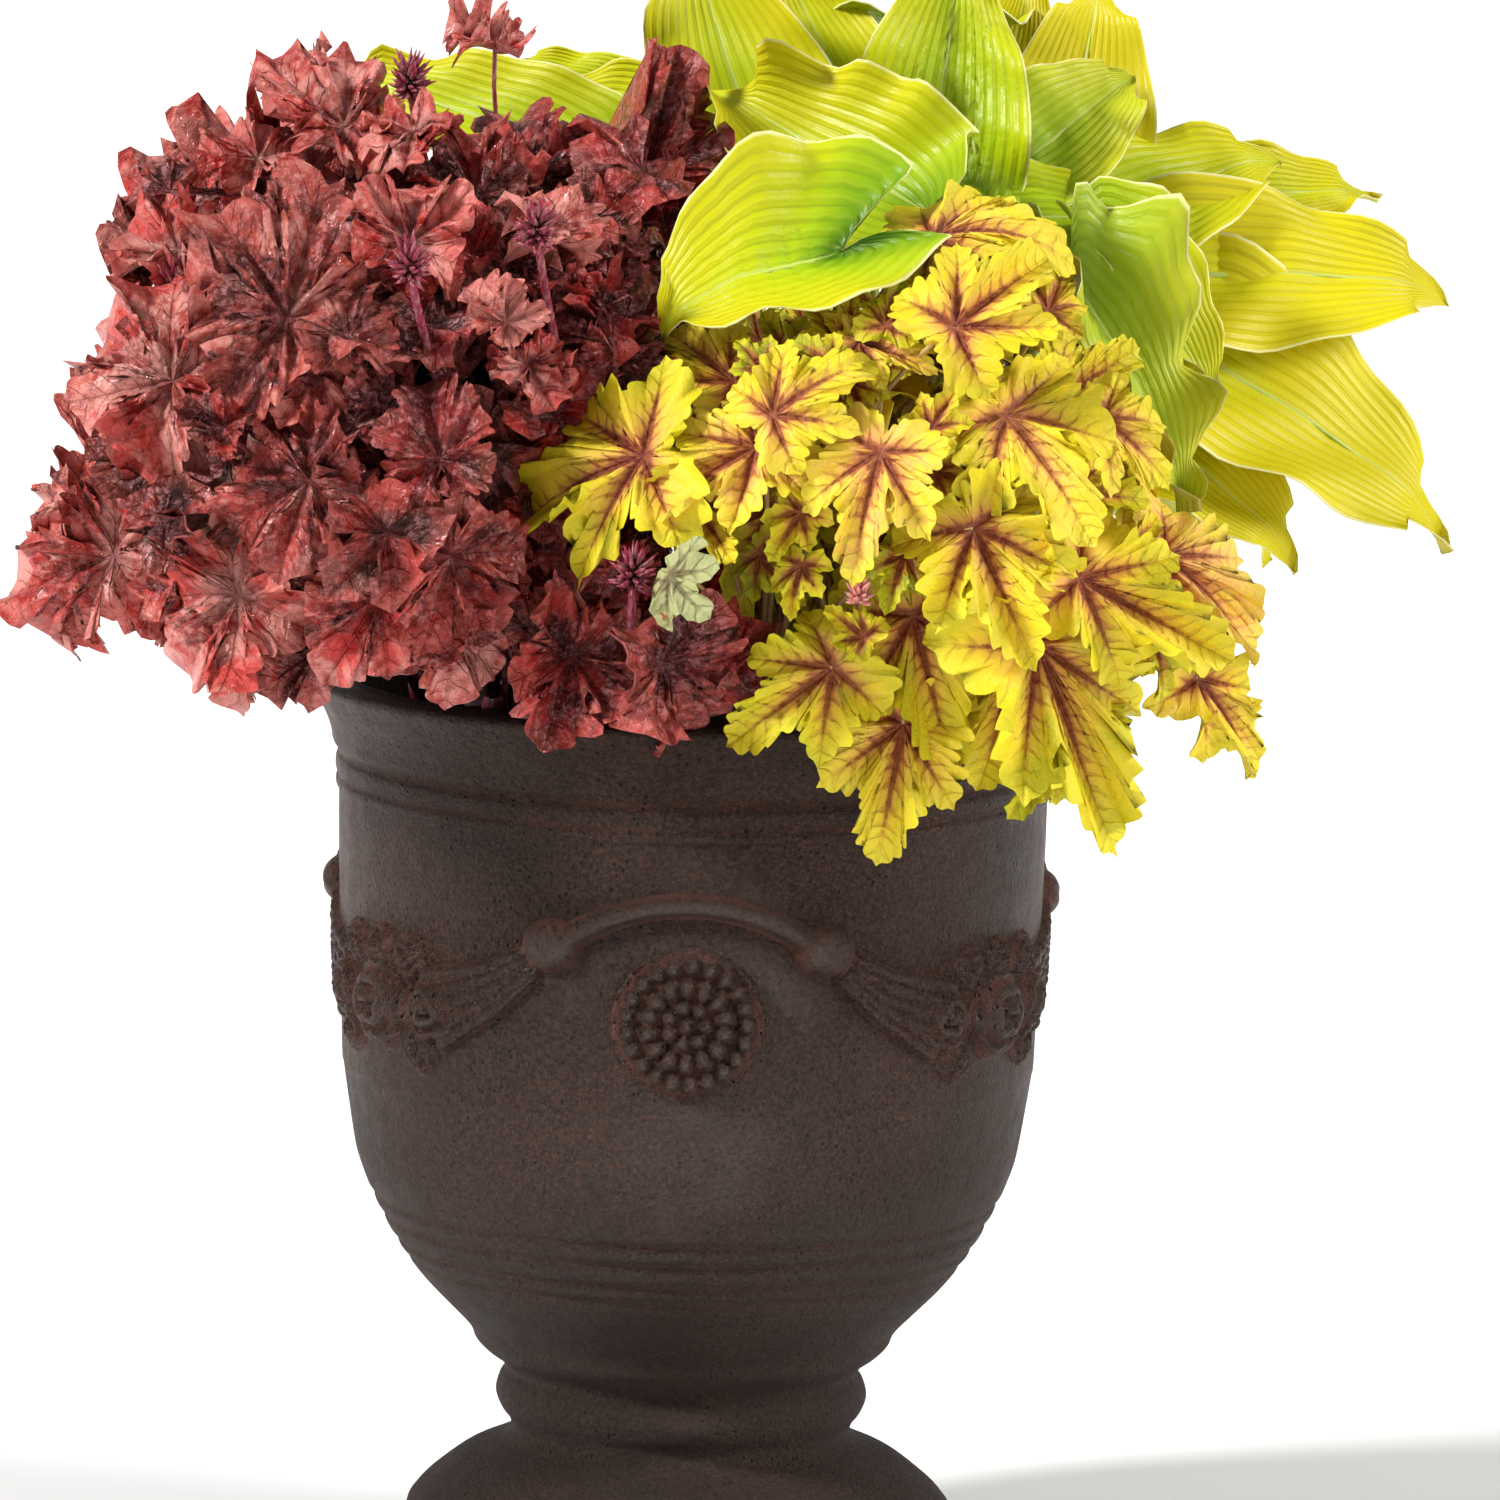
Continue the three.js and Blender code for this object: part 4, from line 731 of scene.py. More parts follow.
# kinds of leaf. edge to ring are those of the solids: thickness and petiole radius in mm, droop, unevenness
# and waves of the outline, ring where the petiole ends. Then as palm_margin and palm_blade say
RED = SimpleNamespace(edge=RED_EDGE, thick=0.8, stalk=1.7, sag=0.16, vary=0.06, wave=0.05, ring=1.0,
                      cut=0.66, swell=0.29, early=1.0, tooth=0.21, lean=0.5, blunt=0.62, ruffle=0.12, waves=7,
                      frill=0.10, pleat=0.02, twist=0.8, curl=0.65, cup=0.16, fold=0.35, puff=0.07,
                      uneven=0.16, slim=0.96)
GOLD = SimpleNamespace(edge=GOLD_EDGE, thick=0.8, stalk=1.7, sag=0.14, vary=0.05, wave=0.03, ring=1.0,
                       cut=0.98, swell=0.13, early=1.2, tooth=0.14, lean=0.3, blunt=0.8, ruffle=0.04, waves=9,
                       frill=0.02, pleat=0.12, twist=0.35, curl=0.18, cup=0.03, fold=0.25, puff=0.014,
                       uneven=0.10, slim=0.84)
HOSTA = SimpleNamespace(edge=HOSTA_EDGE, thick=1.0, stalk=3.6, sag=0, vary=0.02, wave=0.012, ring=0.55)


def vary(leaf, **changes):
    """Copy of a leaf, or of a kind of leaf, with some values changed."""
    return SimpleNamespace(**{**vars(leaf), **changes})


# a pale small leaf, and a large one with deep notches
PALE = vary(GOLD, cut=1.25, swell=0.25, early=1.0, uneven=0.0, slim=1.1, tooth=0.08, fold=0.0, curl=0.05,
            twist=0.1, pleat=0.04)
DEEP = vary(GOLD, cut=0.74, swell=0.10, uneven=0.03, slim=0.92, curl=0.1)


def on_blade(leaf, kind, u, v, w):
    """Points of a blade: flat place u, v raised by w and the fold, drooping by sag * (u^2 + v^2) / length,
    then rolled back about the side axis so that the whole length turns through the bend."""
    lift = w + leaf.fold * np.abs(u) - kind.sag * (u * u + v * v) / leaf.len
    turn = leaf.bend / leaf.len
    if abs(leaf.bend) < 0.01:
        p, q = v, lift
    else:
        p = (1 / turn + lift) * np.sin(v * turn)
        q = (1 / turn + lift) * np.cos(v * turn) - 1 / turn
    return leaf.foot + u[..., None] * leaf.side + p[..., None] * leaf.rib + q[..., None] * leaf.face


def blade_edge(leaf, kind):
    """Corners of a blade as flat places: degrees, distance, lift, each a little off by the leaf's seed."""
    half = kind.edge
    rows = np.array(list(half) + [(-a, r, w) for a, r, w in half[-2:0:-1]], float)
    i = np.arange(len(rows))
    reach = rows[:, 1] * leaf.len * (1 + kind.vary * draw(leaf.seed * 31 + i))
    angle = np.radians(rows[:, 0] + 40 * kind.vary * draw(leaf.seed * 17 + i))
    lift = leaf.len * (rows[:, 2] + kind.wave * draw(leaf.seed * 7 + i))
    return np.stack([np.sin(angle) * reach * leaf.wide, np.cos(angle) * reach, lift], 1)


INTO_BLADE = 12


def socket(leaf, kind):
    """Where the solid's petiole meets the blade: a little in from the notch at its foot."""
    e = blade_edge(leaf, kind)[:2]
    ends = on_blade(leaf, kind, e[:, 0] * kind.ring, e[:, 1] * kind.ring, e[:, 2] * kind.ring**2)
    c = on_blade(leaf, kind, np.zeros(1), np.zeros(1), np.zeros(1))[0]
    out = ends.mean(0) - c
    return c + out * (INTO_BLADE / np.linalg.norm(out))


def bezier(a, b, c, d, count):
    """Points of the cubic that leaves a toward b and reaches d from c."""
    t = np.linspace(0, 1, count)[:, None]
    return a * (1 - t) ** 3 + 3 * b * t * (1 - t) ** 2 + 3 * c * t**2 * (1 - t) + d * t**3


def stalk_controls(leaf, low, end, swing):
    """Control points of a petiole from the crown to the blade, over the rim where the leaf hangs outside.
    swing moves it aside and up."""
    root = vec(leaf.root[0], leaf.root[1], low)
    aside = unit(vec(end[1] - root[1], root[0] - end[0], 0)) * swing[0]
    if math.hypot(end[0], end[1]) > RIM_R - 22 and end[2] < RIM_Z + 80:
        c1 = root + 0.25 * (end - root)
        c1[2] = RIM_Z + 75 + swing[1]
        c2 = vec(end[0], end[1], max(end[2], RIM_Z + 55)) - 8 * leaf.face
    else:
        rise, apart = max(30, end[2] - root[2]), np.linalg.norm(end - root)
        c1 = root + 0.1 * (end - root)
        c1[2] = root[2] + 0.45 * rise
        c2 = end - 0.22 * apart * leaf.face - 0.12 * apart * leaf.rib
        c2[2] = max(c2[2], root[2] + 25) + swing[1]
    return root, c1 + aside, c2 + aside, end


def pierced(path, leaf, stack):
    """How many leaves a petiole would pierce; stack holds the placed leaves as arrays."""
    count = 0
    for p, d in zip(path[:-1], np.diff(path, axis=0)):
        t = ((stack.middle - p) * stack.face).sum(1) / (stack.face @ d)
        q = p + t[:, None] * d - stack.middle
        along, across = (q * stack.rib).sum(1), (q * stack.side).sum(1)
        inside = (along / stack.oval[:, 0]) ** 2 + (across / stack.oval[:, 1]) ** 2
        count += ((t >= 0) & (t <= 1) & (inside < 1.1) & (stack.index != leaf.index)).sum()
    return count


def piece_gap(p0, p1, q0, q1):
    """Shortest distances between straight pieces p0-p1 and q0-q1, for arrays of pieces."""
    dp, dq, r = p1 - p0, q1 - q0, p0 - q0
    a, b, e = (dp * dp).sum(-1), (dp * dq).sum(-1), (dq * dq).sum(-1)
    c, f = (dp * r).sum(-1), (dq * r).sum(-1)
    slant = a * e - b * b
    s = np.where(slant > 1e-6, np.clip((b * f - c * e) / np.where(slant > 1e-6, slant, 1), 0, 1), 0)
    t = np.clip((b * s + f) / e, 0, 1)
    s = np.clip((b * t - c) / a, 0, 1)
    return np.linalg.norm(r + s[..., None] * dp - t[..., None] * dq, axis=-1)


def tangled(path, thick, node, done):
    """How many stems of other nodes a petiole would run into."""
    if not done.node:
        return 0
    gap = piece_gap(path[:-1, None], path[1:, None], done.start[None], done.end[None])
    hit = (gap < done.thick[None] + thick + CLEAR + 0.5).any(0)
    return len({s for s, h, n in zip(done.stem, hit, done.node) if h and n != node})


def add_stem(done, path, thick, node):
    """Adds a stem to those that later petioles have to miss."""
    number = done.stem[-1] + 1 if done.stem else 0
    done.start = np.vstack([done.start, path[:-1]])
    done.end = np.vstack([done.end, path[1:]])
    done.thick = np.concatenate([done.thick, [thick] * (len(path) - 1)])
    done.node += [node] * (len(path) - 1)
    done.stem += [number] * (len(path) - 1)


def scrapes(path):
    """Does a petiole run into the rim."""
    t = np.array([0, 0.2, 0.4, 0.6, 0.8, 1])[:, None]
    for a, b in zip(path[:-1], path[1:]):
        p = a + (b - a) * t
        r = np.hypot(p[:, 0], p[:, 1])
        if ((p[:, 2] > SOIL_Z) & (p[:, 2] < RIM_Z + 4) & (r > RIM_R - 28) & (r < RIM_R + 4)).any():
            return True
    return False


SWINGS = [(a, b) for a in (0, 22, -22, 45, -45, 70, -70) for b in (0, -25, 35)]


def routed(leaf, kind, low, stack, done):
    """Leaf with the control points of its petiole, swung aside where it would meet leaves or stems."""
    end = socket(leaf, kind)
    best, least = None, math.inf
    for swing in SWINGS:
        controls = stalk_controls(leaf, low, end, swing)
        path = bezier(*controls, leaf.joints + 1)
        cost = pierced(path, leaf, stack) + 4 * tangled(path, kind.stalk, leaf.node, done) + 8 * scrapes(path)
        if cost < least:
            best, least, kept = controls, cost, path
        if least == 0:
            break
    add_stem(done, kept, kind.stalk, leaf.node)
    return vary(leaf, controls=best)


# each plant spreads its leaves over a dome: middle and half sizes
RED_DOME = SimpleNamespace(mid=vec(-172, -55, 655), size=vec(222, 205, 235))
GOLD_DOME = SimpleNamespace(mid=vec(118, -95, 655), size=vec(205, 185, 205))
# shoots of a plant: soil place of the crown and the point its leaves gather round
RED_SHOOTS = [
    ("heuchera_shoot_left", (-150, -20), (-340, -80, 650)),
    ("heuchera_shoot_low_left", (-135, -75), (-250, -190, 590)),
    ("heuchera_shoot_front", (-75, -125), (-90, -240, 590)),
    ("heuchera_shoot_middle", (-85, -70), (-150, -210, 720)),
    ("heuchera_shoot_top_left", (-115, 15), (-280, -90, 800)),
    ("heuchera_shoot_top", (-60, -15), (-70, -90, 820)),
    ("heuchera_shoot_back", (-100, 70), (-190, 110, 700)),
]
GOLD_SHOOTS = [
    ("heucherella_shoot_left", (40, -130), (0, -220, 700)),
    ("heucherella_shoot_front", (85, -135), (120, -270, 600)),
    ("heucherella_shoot_right", (135, -95), (270, -170, 630)),
    ("heucherella_shoot_top", (85, -80), (150, -150, 790)),
]
# drawn leaves, front ones first: petiole end across, down; tip across, down; where it differs from
# the rest, width over length and how far back it lies
RED_LEAVES = [
    (303, 332, 230, 232), (325, 490, 226, 550), (619, 368, 598, 245, 0.6), (461, 562, 428, 668),
    (577, 657, 545, 752), (663, 664, 690, 755), (645, 192, 668, 82, 0.6, 60), (452, 470, 438, 385),
    (190, 392, 104, 330), (352, 140, 265, 95), (130, 560, 35, 600), (255, 600, 180, 690),
    (331, 384, 292, 440), (530, 190, 522, 105), (365, 352, 362, 283), (335, 492, 357, 566),
    (188, 398, 150, 495), (262, 648, 246, 716), (390, 605, 335, 683), (462, 625, 456, 712),
    (421, 146, 415, 205), (420, 258, 432, 190), (535, 375, 560, 430),
    (515, 337, 472, 300), (430, 280, 385, 318), (268, 170, 228, 128), (192, 262, 130, 255),
    (345, 140, 340, 76), (90, 500, 46, 520), (95, 595, 72, 655), (635, 575, 592, 590),
    (560, 245, 495, 225), (500, 62, 442, 50, 0.6), (545, 500, 560, 560), (480, 215, 455, 150),
    (260, 520, 215, 470), (700, 620, 745, 660), (300, 225, 330, 290),
]
GOLD_LEAVES = [
    (648, 466, 511, 534), (876, 463, 846, 587), (757, 458, 648, 534), (1028, 648, 1095, 852),
    (997, 426, 1079, 560), (965, 536, 1023, 676), (772, 428, 867, 367), (948, 342, 1040, 275),
    (929, 251, 1078, 258), (899, 724, 872, 868), (830, 670, 728, 742), (908, 619, 945, 775),
    (1067, 584, 1206, 663), (735, 392, 664, 335), (1152, 561, 1249, 667), (857, 355, 930, 385),
    (1188, 680, 1246, 777, 0.6), (1047, 412, 1131, 362), (1008, 662, 972, 795), (1090, 430, 1163, 492),
    (700, 515, 742, 572),
]
# smaller leaves that stand between and behind the others; the last yellow one of these is pale grey-green
RED_UNDER = [
    (645, 185, 588, 135), (250, 205, 205, 195), (395, 225, 340, 195), (590, 235, 620, 205),
    (520, 275, 560, 310), (240, 430, 270, 385), (395, 420, 355, 455), (480, 450, 535, 485),
    (175, 470, 125, 450), (440, 605, 500, 640), (330, 590, 290, 545), (210, 560, 160, 610),
    (330, 650, 280, 690), (225, 330, 170, 290), (400, 540, 350, 600), (560, 420, 505, 385),
    (606, 315, 610, 372), (600, 560, 560, 600), (620, 610, 660, 580), (500, 560, 530, 600),
    (480, 270, 520, 240), (440, 340, 400, 380), (560, 300, 600, 280), (612, 245, 600, 205),
    (240, 440, 200, 430), (180, 530, 230, 500), (300, 570, 340, 560), (520, 540, 570, 520),
    (640, 450, 600, 420), (380, 400, 420, 440), (290, 270, 250, 300), (600, 170, 560, 150),
    (540, 640, 590, 620), (740, 650, 720, 700), (420, 670, 400, 700), (150, 400, 120, 430),
]
GOLD_UNDER = [
    (1140, 640, 1153, 705), (1060, 500, 1138, 508), (800, 572, 790, 625), (845, 395, 872, 445),
    (925, 440, 955, 395), (1045, 755, 995, 808), (800, 520, 770, 570), (830, 380, 790, 350),
    (760, 560, 800, 610), (1000, 600, 960, 640), (1110, 560, 1150, 520), (900, 560, 880, 620),
    (930, 480, 980, 500), (765, 385, 735, 350), (860, 640, 820, 610), (1080, 700, 1120, 740),
    (790, 372, 760, 322, 0.94, 25), (838, 356, 806, 312, 0.94, 30), (872, 372, 880, 318, 0.94, 20),
    (722, 372, 748, 332, 0.94, 30),
    (674, 582, 712, 624, 0.94, -70),
]
PALE_LEAF = 800 + len(GOLD_UNDER) - 1
# and at the upper borders of the clumps
RED_MORE = [
    (672, 285, 652, 232, 0.9, 20), (640, 262, 668, 214, 0.9, 30), (178, 618, 170, 566), (162, 268, 146, 226),
    (300, 90, 330, 60, 0.9, 20), (180, 200, 160, 165, 0.9, 30),
]
GOLD_MORE = [
    (762, 352, 752, 304, 0.94, 30), (806, 340, 792, 290, 0.94, 35), (850, 348, 846, 304, 0.94, 55),
    (882, 340, 896, 290, 0.94, 25), (1040, 322, 1056, 272, 0.94, 30), (735, 372, 738, 330, 0.94, 20),
    (712, 438, 690, 398, 0.94, 10),
]


def dome_at(dome, u, v):
    """Depth of a drawing point on the near side of a dome, and the way the dome faces there."""
    p = sight(u, v, dome.mid[1] - 0.6 * dome.size[1])
    a, c = (p[0] - dome.mid[0]) / dome.size[0], (p[2] - dome.mid[2]) / dome.size[2]
    b = math.sqrt(max(0.02, 1 - a * a - c * c))
    depth = dome.mid[1] - dome.size[1] * b
    if p[2] < RIM_Z + 45 and abs(p[0]) < RIM_R:
        depth = min(depth, -math.sqrt((RIM_R + 20) ** 2 - p[0] ** 2))
    return depth, unit(vec(a / dome.size[0], -b / dome.size[1], c / dome.size[2]))


def far_leaves(dome, count, start, stop, length, tight=0.94, high=(-14, 76), draws=0):
    """Leaves that aren't drawn, between two bearings (degrees from +X) of a dome, spread by the golden
    ratio. tight is how far out they stand, high their lowest rise and its range, draws their own noise."""
    leaves = []
    for i in range(count):
        bearing = math.radians(start + (stop - start) * ((i * 0.618034) % 1))
        rise = math.radians(high[0] + high[1] * (i + 0.5) / count)
        out = vec(math.cos(bearing) * math.cos(rise), math.sin(bearing) * math.cos(rise), math.sin(rise))
        mid = out * dome.size * (tight + 0.05 * draw(i + 90 + draws)) + dome.mid
        face = out + vec(0.3 * draw(i + 5 + draws), 0.2 * draw(i + 6 + draws), 0.4)
        toward = vec(out[0] + 0.6 * draw(i + 7 + draws), out[1] + 0.6 * draw(i + 8 + draws), -0.7)
        leaves.append(free_leaf(mid, face, toward, length * (1 + 0.18 * draw(i + 9 + draws))))
    return leaves


def finish_leaf(leaf, seed, shape, **extra):
    """Leaf with its own axes; the blade starts raised by half its bend and its droop, so that its tip
    ends where it is drawn. An oval stands for it when leaves are kept apart: shape gives its middle and
    half sizes over the length and width, and the droop."""
    mid, along, across, droop = shape
    plain = {"wide": 1, "fold": 0, "bend": 0, "joints": 3}
    out = SimpleNamespace(**{**plain, **vars(leaf), "seed": seed, **extra})
    tilt = out.bend / 2 + droop
    rib, face = out.rib, out.face
    out.rib = rib * math.cos(tilt) + face * math.sin(tilt)
    out.face = face * math.cos(tilt) - rib * math.sin(tilt)
    if abs(out.bend) > 1e-9:
        out.len = out.len * max(1, (out.bend / 2) / math.sin(out.bend / 2))
    out.side = np.cross(out.rib, out.face)
    out.middle = out.foot + out.rib * mid * out.len
    out.oval = (along * out.len, across * out.len * out.wide)
    return out


def clump(dome, rows, far, shoots, start, wide, shift=0.0, size=1.0):
    """Leaves of one plant, each given to the shoot whose head is nearest. Their seeds count up from start;
    shift moves the drawn ones back and size makes them longer."""
    leaves = []
    for i, row in enumerate(rows):
        depth, face = dome_at(dome, row[0] + 0.4 * (row[2] - row[0]), row[1] + 0.4 * (row[3] - row[1]))
        face = face + vec(0.22 * draw(start + 3 * i), -0.3, 0.4 + 0.2 * draw(start + 5 * i))
        back = (row[5] if len(row) > 5 else 0) + shift
        leaf = drawn_leaf(row, depth + back, face)
        leaf.wide = row[4] if len(row) > 4 else wide
        leaf.len *= size
        leaves.append(leaf)
    for leaf in far:
        leaf.wide = wide
    out = []
    for i, leaf in enumerate(leaves + far):
        name, at, _ = min(shoots, key=lambda s: np.linalg.norm(leaf.mid - np.array(s[2])))
        out.append(finish_leaf(leaf, start + i, (0.22, 0.7, 0.76, 0.22), node=name,
                               crown=vec(at[0], at[1], 0), bend=0.25 + 0.25 * draw(start + i)))
    return out


def seat(leaf):
    """A petiole stands on its crown on the side its leaf goes to."""
    out = leaf.foot - leaf.crown
    out[2] = 0
    leaf.root = leaf.crown + out * min(0.1, (CROWN_R - 6) / np.linalg.norm(out))


# drawn leaves: petiole end, tip, depth of the middle, face turned right and up (degrees), width over
# length, backward bend, fold along the rib; then yellow, grey-green, pucker and rim wave of the finish
HOSTA_LEAVES = [
    (823, 262, 652, 338, -120, -18, 42, 1.1, 0.5, 0.1, 0.17, 0.0, 1.0, 1.3),
    (905, 208, 702, 82, -48, -20, 30, 0.72, -0.3, 0.25, 0.22, 0.05, 0.3, 2.3),
    (928, 186, 962, -55, 22, 0, 12, 0.78, 0.25, 0.3, 0.04, 0.0, 1.7, 2.0),
    (765, 175, 690, -62, 52, -12, 14, 0.85, 0.2, 0.12, 0.18, 0.0, 0.4, 0.8),
    (880, 150, 772, -58, 92, -10, 12, 0.6, 0.2, 0.2, 0.16, 0.0, 0.4, 1.0),
    (560, 150, 318, 68, 96, -20, 42, 0.5, 0.5, 0.15, 0.12, 0.0, 0.4, 0.8),
    (680, 120, 540, 92, 118, -10, 38, 0.85, 0.4, 0.1, 0.10, 0.0, 0.4, 0.8),
    (620, 90, 505, 50, 160, -10, 30, 0.6, 0.3, 0.1, 0.15, 0.0, 0.4, 0.8),
    (1030, 158, 1139, 70, 30, 14, 24, 0.9, 0.2, 0.25, 0.10, 0.2, 0.5, 1.2),
    (1060, 190, 1105, -40, 92, 8, 14, 0.72, 0.2, 0.15, 0.42, 0.0, 0.3, 0.6),
    (1000, 120, 1035, -45, 128, 0, 14, 0.6, 0.2, 0.15, 0.36, 0.0, 0.3, 0.8),
    (1085, 225, 1290, 150, 58, 14, 46, 0.7, 0.4, 0.1, 0.14, 0.0, 0.5, 0.8),
    (1180, 200, 1392, 187, 112, 18, 40, 0.5, 0.4, 0.15, 0.2, 0.0, 0.4, 1.0),
    (1175, 275, 1466, 290, 52, 18, 34, 0.62, 0.5, 0.08, 0.44, 0.0, 0.3, 0.6),
    (1175, 345, 1463, 543, -2, 30, 34, 0.68, 0.5, 0.08, 0.46, 0.0, 0.2, 0.6),
    (1110, 410, 1305, 567, -40, 24, 36, 0.62, 0.4, 0.1, 0.40, 0.0, 0.3, 0.6),
    (1078, 290, 1182, 518, -82, 32, 22, 0.62, 0.4, 0.2, 0.14, 0.3, 0.9, 3.0),
    (1105, 258, 1217, 416, -38, 34, 30, 0.56, 0.4, 0.2, 0.14, 0.1, 0.5, 1.0),
    (1005, 222, 1166, 228, -30, 8, 52, 0.8, 0.3, 0.1, 0.06, 0.0, 0.6, 0.7),
]
HOSTA_CROWN, HOSTA_SEED = vec(118, 62, 0), 400
# leaves at the back: bearing from +X (degrees), reach from the crown, height, length
HOSTA_FAR = [(62, 190, 700, 150), (98, 205, 790, 160), (132, 190, 730, 150), (30, 235, 790, 150),
             (80, 120, 880, 160), (48, 205, 605, 150), (90, 215, 635, 150), (130, 215, 610, 150)]
# leaves that only the looks have, low at the back, where they hide the soil
HOSTA_MORE = [(10, 175, 640, 120), (68, 150, 590, 120), (112, 140, 600, 120), (150, 150, 650, 115)]


def hosta_leaves():
    """Drawn and far leaves of the hosta, with the places of their petioles round the crown."""
    leaves = []
    for u0, v0, u1, v1, depth, swing, lean, wide, bend, fold, *finish in HOSTA_LEAVES:
        s, t = math.radians(swing), math.radians(lean)
        face = vec(math.sin(s) * math.cos(t), -math.cos(s) * math.cos(t), math.sin(t))
        leaf = drawn_leaf((u0, v0, u1, v1), depth, face)
        leaves.append(vary(leaf, wide=wide, bend=bend, fold=fold, finish=finish))
    for bearing, reach, z, length in HOSTA_FAR + HOSTA_MORE:
        out = vec(math.cos(math.radians(bearing)), math.sin(math.radians(bearing)), 0)
        mid = HOSTA_CROWN + out * reach
        mid[2] = z
        leaf = free_leaf(mid, out * 0.55 + vec(0, 0, 1), out - vec(0, 0, 0.5), length)
        finish = (0.2 + 0.1 * float(draw(bearing)), 0.0, 0.4, 0.8)
        leaves.append(vary(leaf, wide=0.8, bend=0.5, fold=0.1, finish=finish))
    for i, leaf in enumerate(leaves):
        gap = leaf.foot - HOSTA_CROWN
        heading = math.atan2(gap[1], gap[0])
        out = clamp(math.hypot(gap[0], gap[1]) * 0.25, 8, 52)
        root = HOSTA_CROWN + vec(math.cos(heading), math.sin(heading), 0) * out
        leaves[i] = finish_leaf(leaf, HOSTA_SEED + i, (0.4, 0.58, 0.5, 0), node=f"hosta_leaf_{i + 1}",
                                root=root, joints=4)
    return leaves


# bud heads of the red heuchera: middle across, down; depth; root of the stem in the soil
SPIKES = [
    (416, 96, -95, -105, -20), (423, 285, -262, -108, -98), (190, 300, -150, -165, 0),
    (544, 248, -215, -48, -98), (637, 581, -268, -40, -165),
]


def spike_controls(row):
    """Control points of a flower stem from the soil to the middle of its bud head."""
    u, v, y, rx, ry = row
    top, foot = sight(u, v, y), vec(rx, ry, SOIL_Z - 18)
    return (foot, vec(rx, ry, foot[2] + 0.4 * (top[2] - foot[2])),
            vec(top[0] + 0.15 * (rx - top[0]), top[1] + 0.15 * (ry - top[1]), top[2] - 70), top)


# leaves that lie off their place in the solid, by seed: how far back along the sight line, and how far
# across, back and up. So the large yellow leaf on the left and the tip of the cupped hosta leaf lie over the
# red ones, and none hides the belt
BACK = {102: 45, 133: 50, 200: -40, 213: 22, 400: -50, 607: 40, 617: 30, 619: 30, 627: 45}
MOVED = {222: (-44, -10, -70), 634: (0, 10, 24), 141: (42, 0, 0), 144: (32, 0, -6), 146: (30, 0, 0),
         678: (0, 24, 44)}


def pushed(leaf):
    """Leaf moved by BACK and MOVED, with the upper end of its petiole."""
    by = SIGHT * BACK.get(leaf.seed, 0) + vec(*MOVED.get(leaf.seed, (0, 0, 0)))
    a, b, c, d = leaf.controls
    return vary(leaf, foot=leaf.foot + by, middle=leaf.middle + by, controls=(a, b, c + by, d + by))


def place_all():
    """Every leaf of the three plants with its petiole: first those of the solids, in the solids' order,
    then the small ones between them, which move out of the way of all others."""
    red = clump(RED_DOME, RED_LEAVES, far_leaves(RED_DOME, 13, 25, 192, 86), RED_SHOOTS, 100, 0.86)
    gold = clump(GOLD_DOME, GOLD_LEAVES, far_leaves(GOLD_DOME, 3, -55, 20, 85), GOLD_SHOOTS, 200, 0.94)
    hosta = hosta_leaves()
    count = len(HOSTA_LEAVES) + len(HOSTA_FAR)
    placed = []
    for leaf in hosta[:count] + gold + red:
        placed.append(settle(leaf, placed))
    solid_count = len(placed)
    inner_red, inner_gold = ([leaf for row in rows for leaf in far_leaves(dome, *row)] for dome, rows in (
        (RED_DOME, [(26, -100, 190, 62, 0.66, (-12, 92), 40), (16, -165, 0, 84, 0.42, (-30, 95), 140),
                    (7, -75, 85, 78, 0.6, (-40, 26), 160)]),
        (GOLD_DOME, [(14, -130, 120, 58, 0.68, (-10, 90), 70), (12, -170, 10, 76, 0.42, (-30, 95), 170),
                     (9, 65, 215, 78, 0.58, (-42, 28), 190)])))
    under = clump(RED_DOME, RED_UNDER, inner_red, RED_SHOOTS, 600, 0.9, 14.0, 1.12)
    under += clump(GOLD_DOME, GOLD_UNDER, inner_gold, GOLD_SHOOTS, 800, 0.94, 16.0, 1.0)
    under += clump(RED_DOME, RED_MORE, [], RED_SHOOTS, 700, 0.9, 10.0, 1.1)
    under += clump(GOLD_DOME, GOLD_MORE, [], GOLD_SHOOTS, 900, 0.94, 16.0, 1.0)
    for leaf in hosta[count:] + under:
        placed.append(settle(leaf, placed))
    for i, leaf in enumerate(placed):
        leaf.index = i
        leaf.under = i >= solid_count
        if hasattr(leaf, "crown"):
            seat(leaf)
    stack = SimpleNamespace(**{k: np.array([getattr(leaf, k) for leaf in placed[:solid_count]])
                               for k in ("middle", "face", "rib", "side", "oval", "index")})
    done = SimpleNamespace(start=np.zeros((0, 3)), end=np.zeros((0, 3)), thick=np.zeros(0), node=[], stem=[])
    for i, row in enumerate(SPIKES):
        add_stem(done, bezier(*spike_controls(row), 5), 3, f"spike {i}")
    for name, at, _ in RED_SHOOTS + GOLD_SHOOTS:
        add_stem(done, np.array([vec(*at, SOIL_Z - 20), vec(*at, SOIL_Z + 20)]), CROWN_R, name)
    groups = {}
    for leaf in placed:
        groups.setdefault(leaf.node, []).append(leaf)
    for name, leaves in groups.items():
        kind = HOSTA if name.startswith("hosta") else GOLD if name.startswith("heucherella") else RED
        low = SOIL_Z - 22 if kind is HOSTA else SOIL_Z + 9
        solid = [routed(leaf, kind, low, stack, done) for leaf in leaves if not leaf.under]
        extra = [leaf for leaf in leaves if leaf.under]
        extra = [vary(leaf, controls=stalk_controls(leaf, low, leaf.foot, (0, 0))) for leaf in extra]
        groups[name] = [pushed(leaf) for leaf in solid + extra]
    return groups


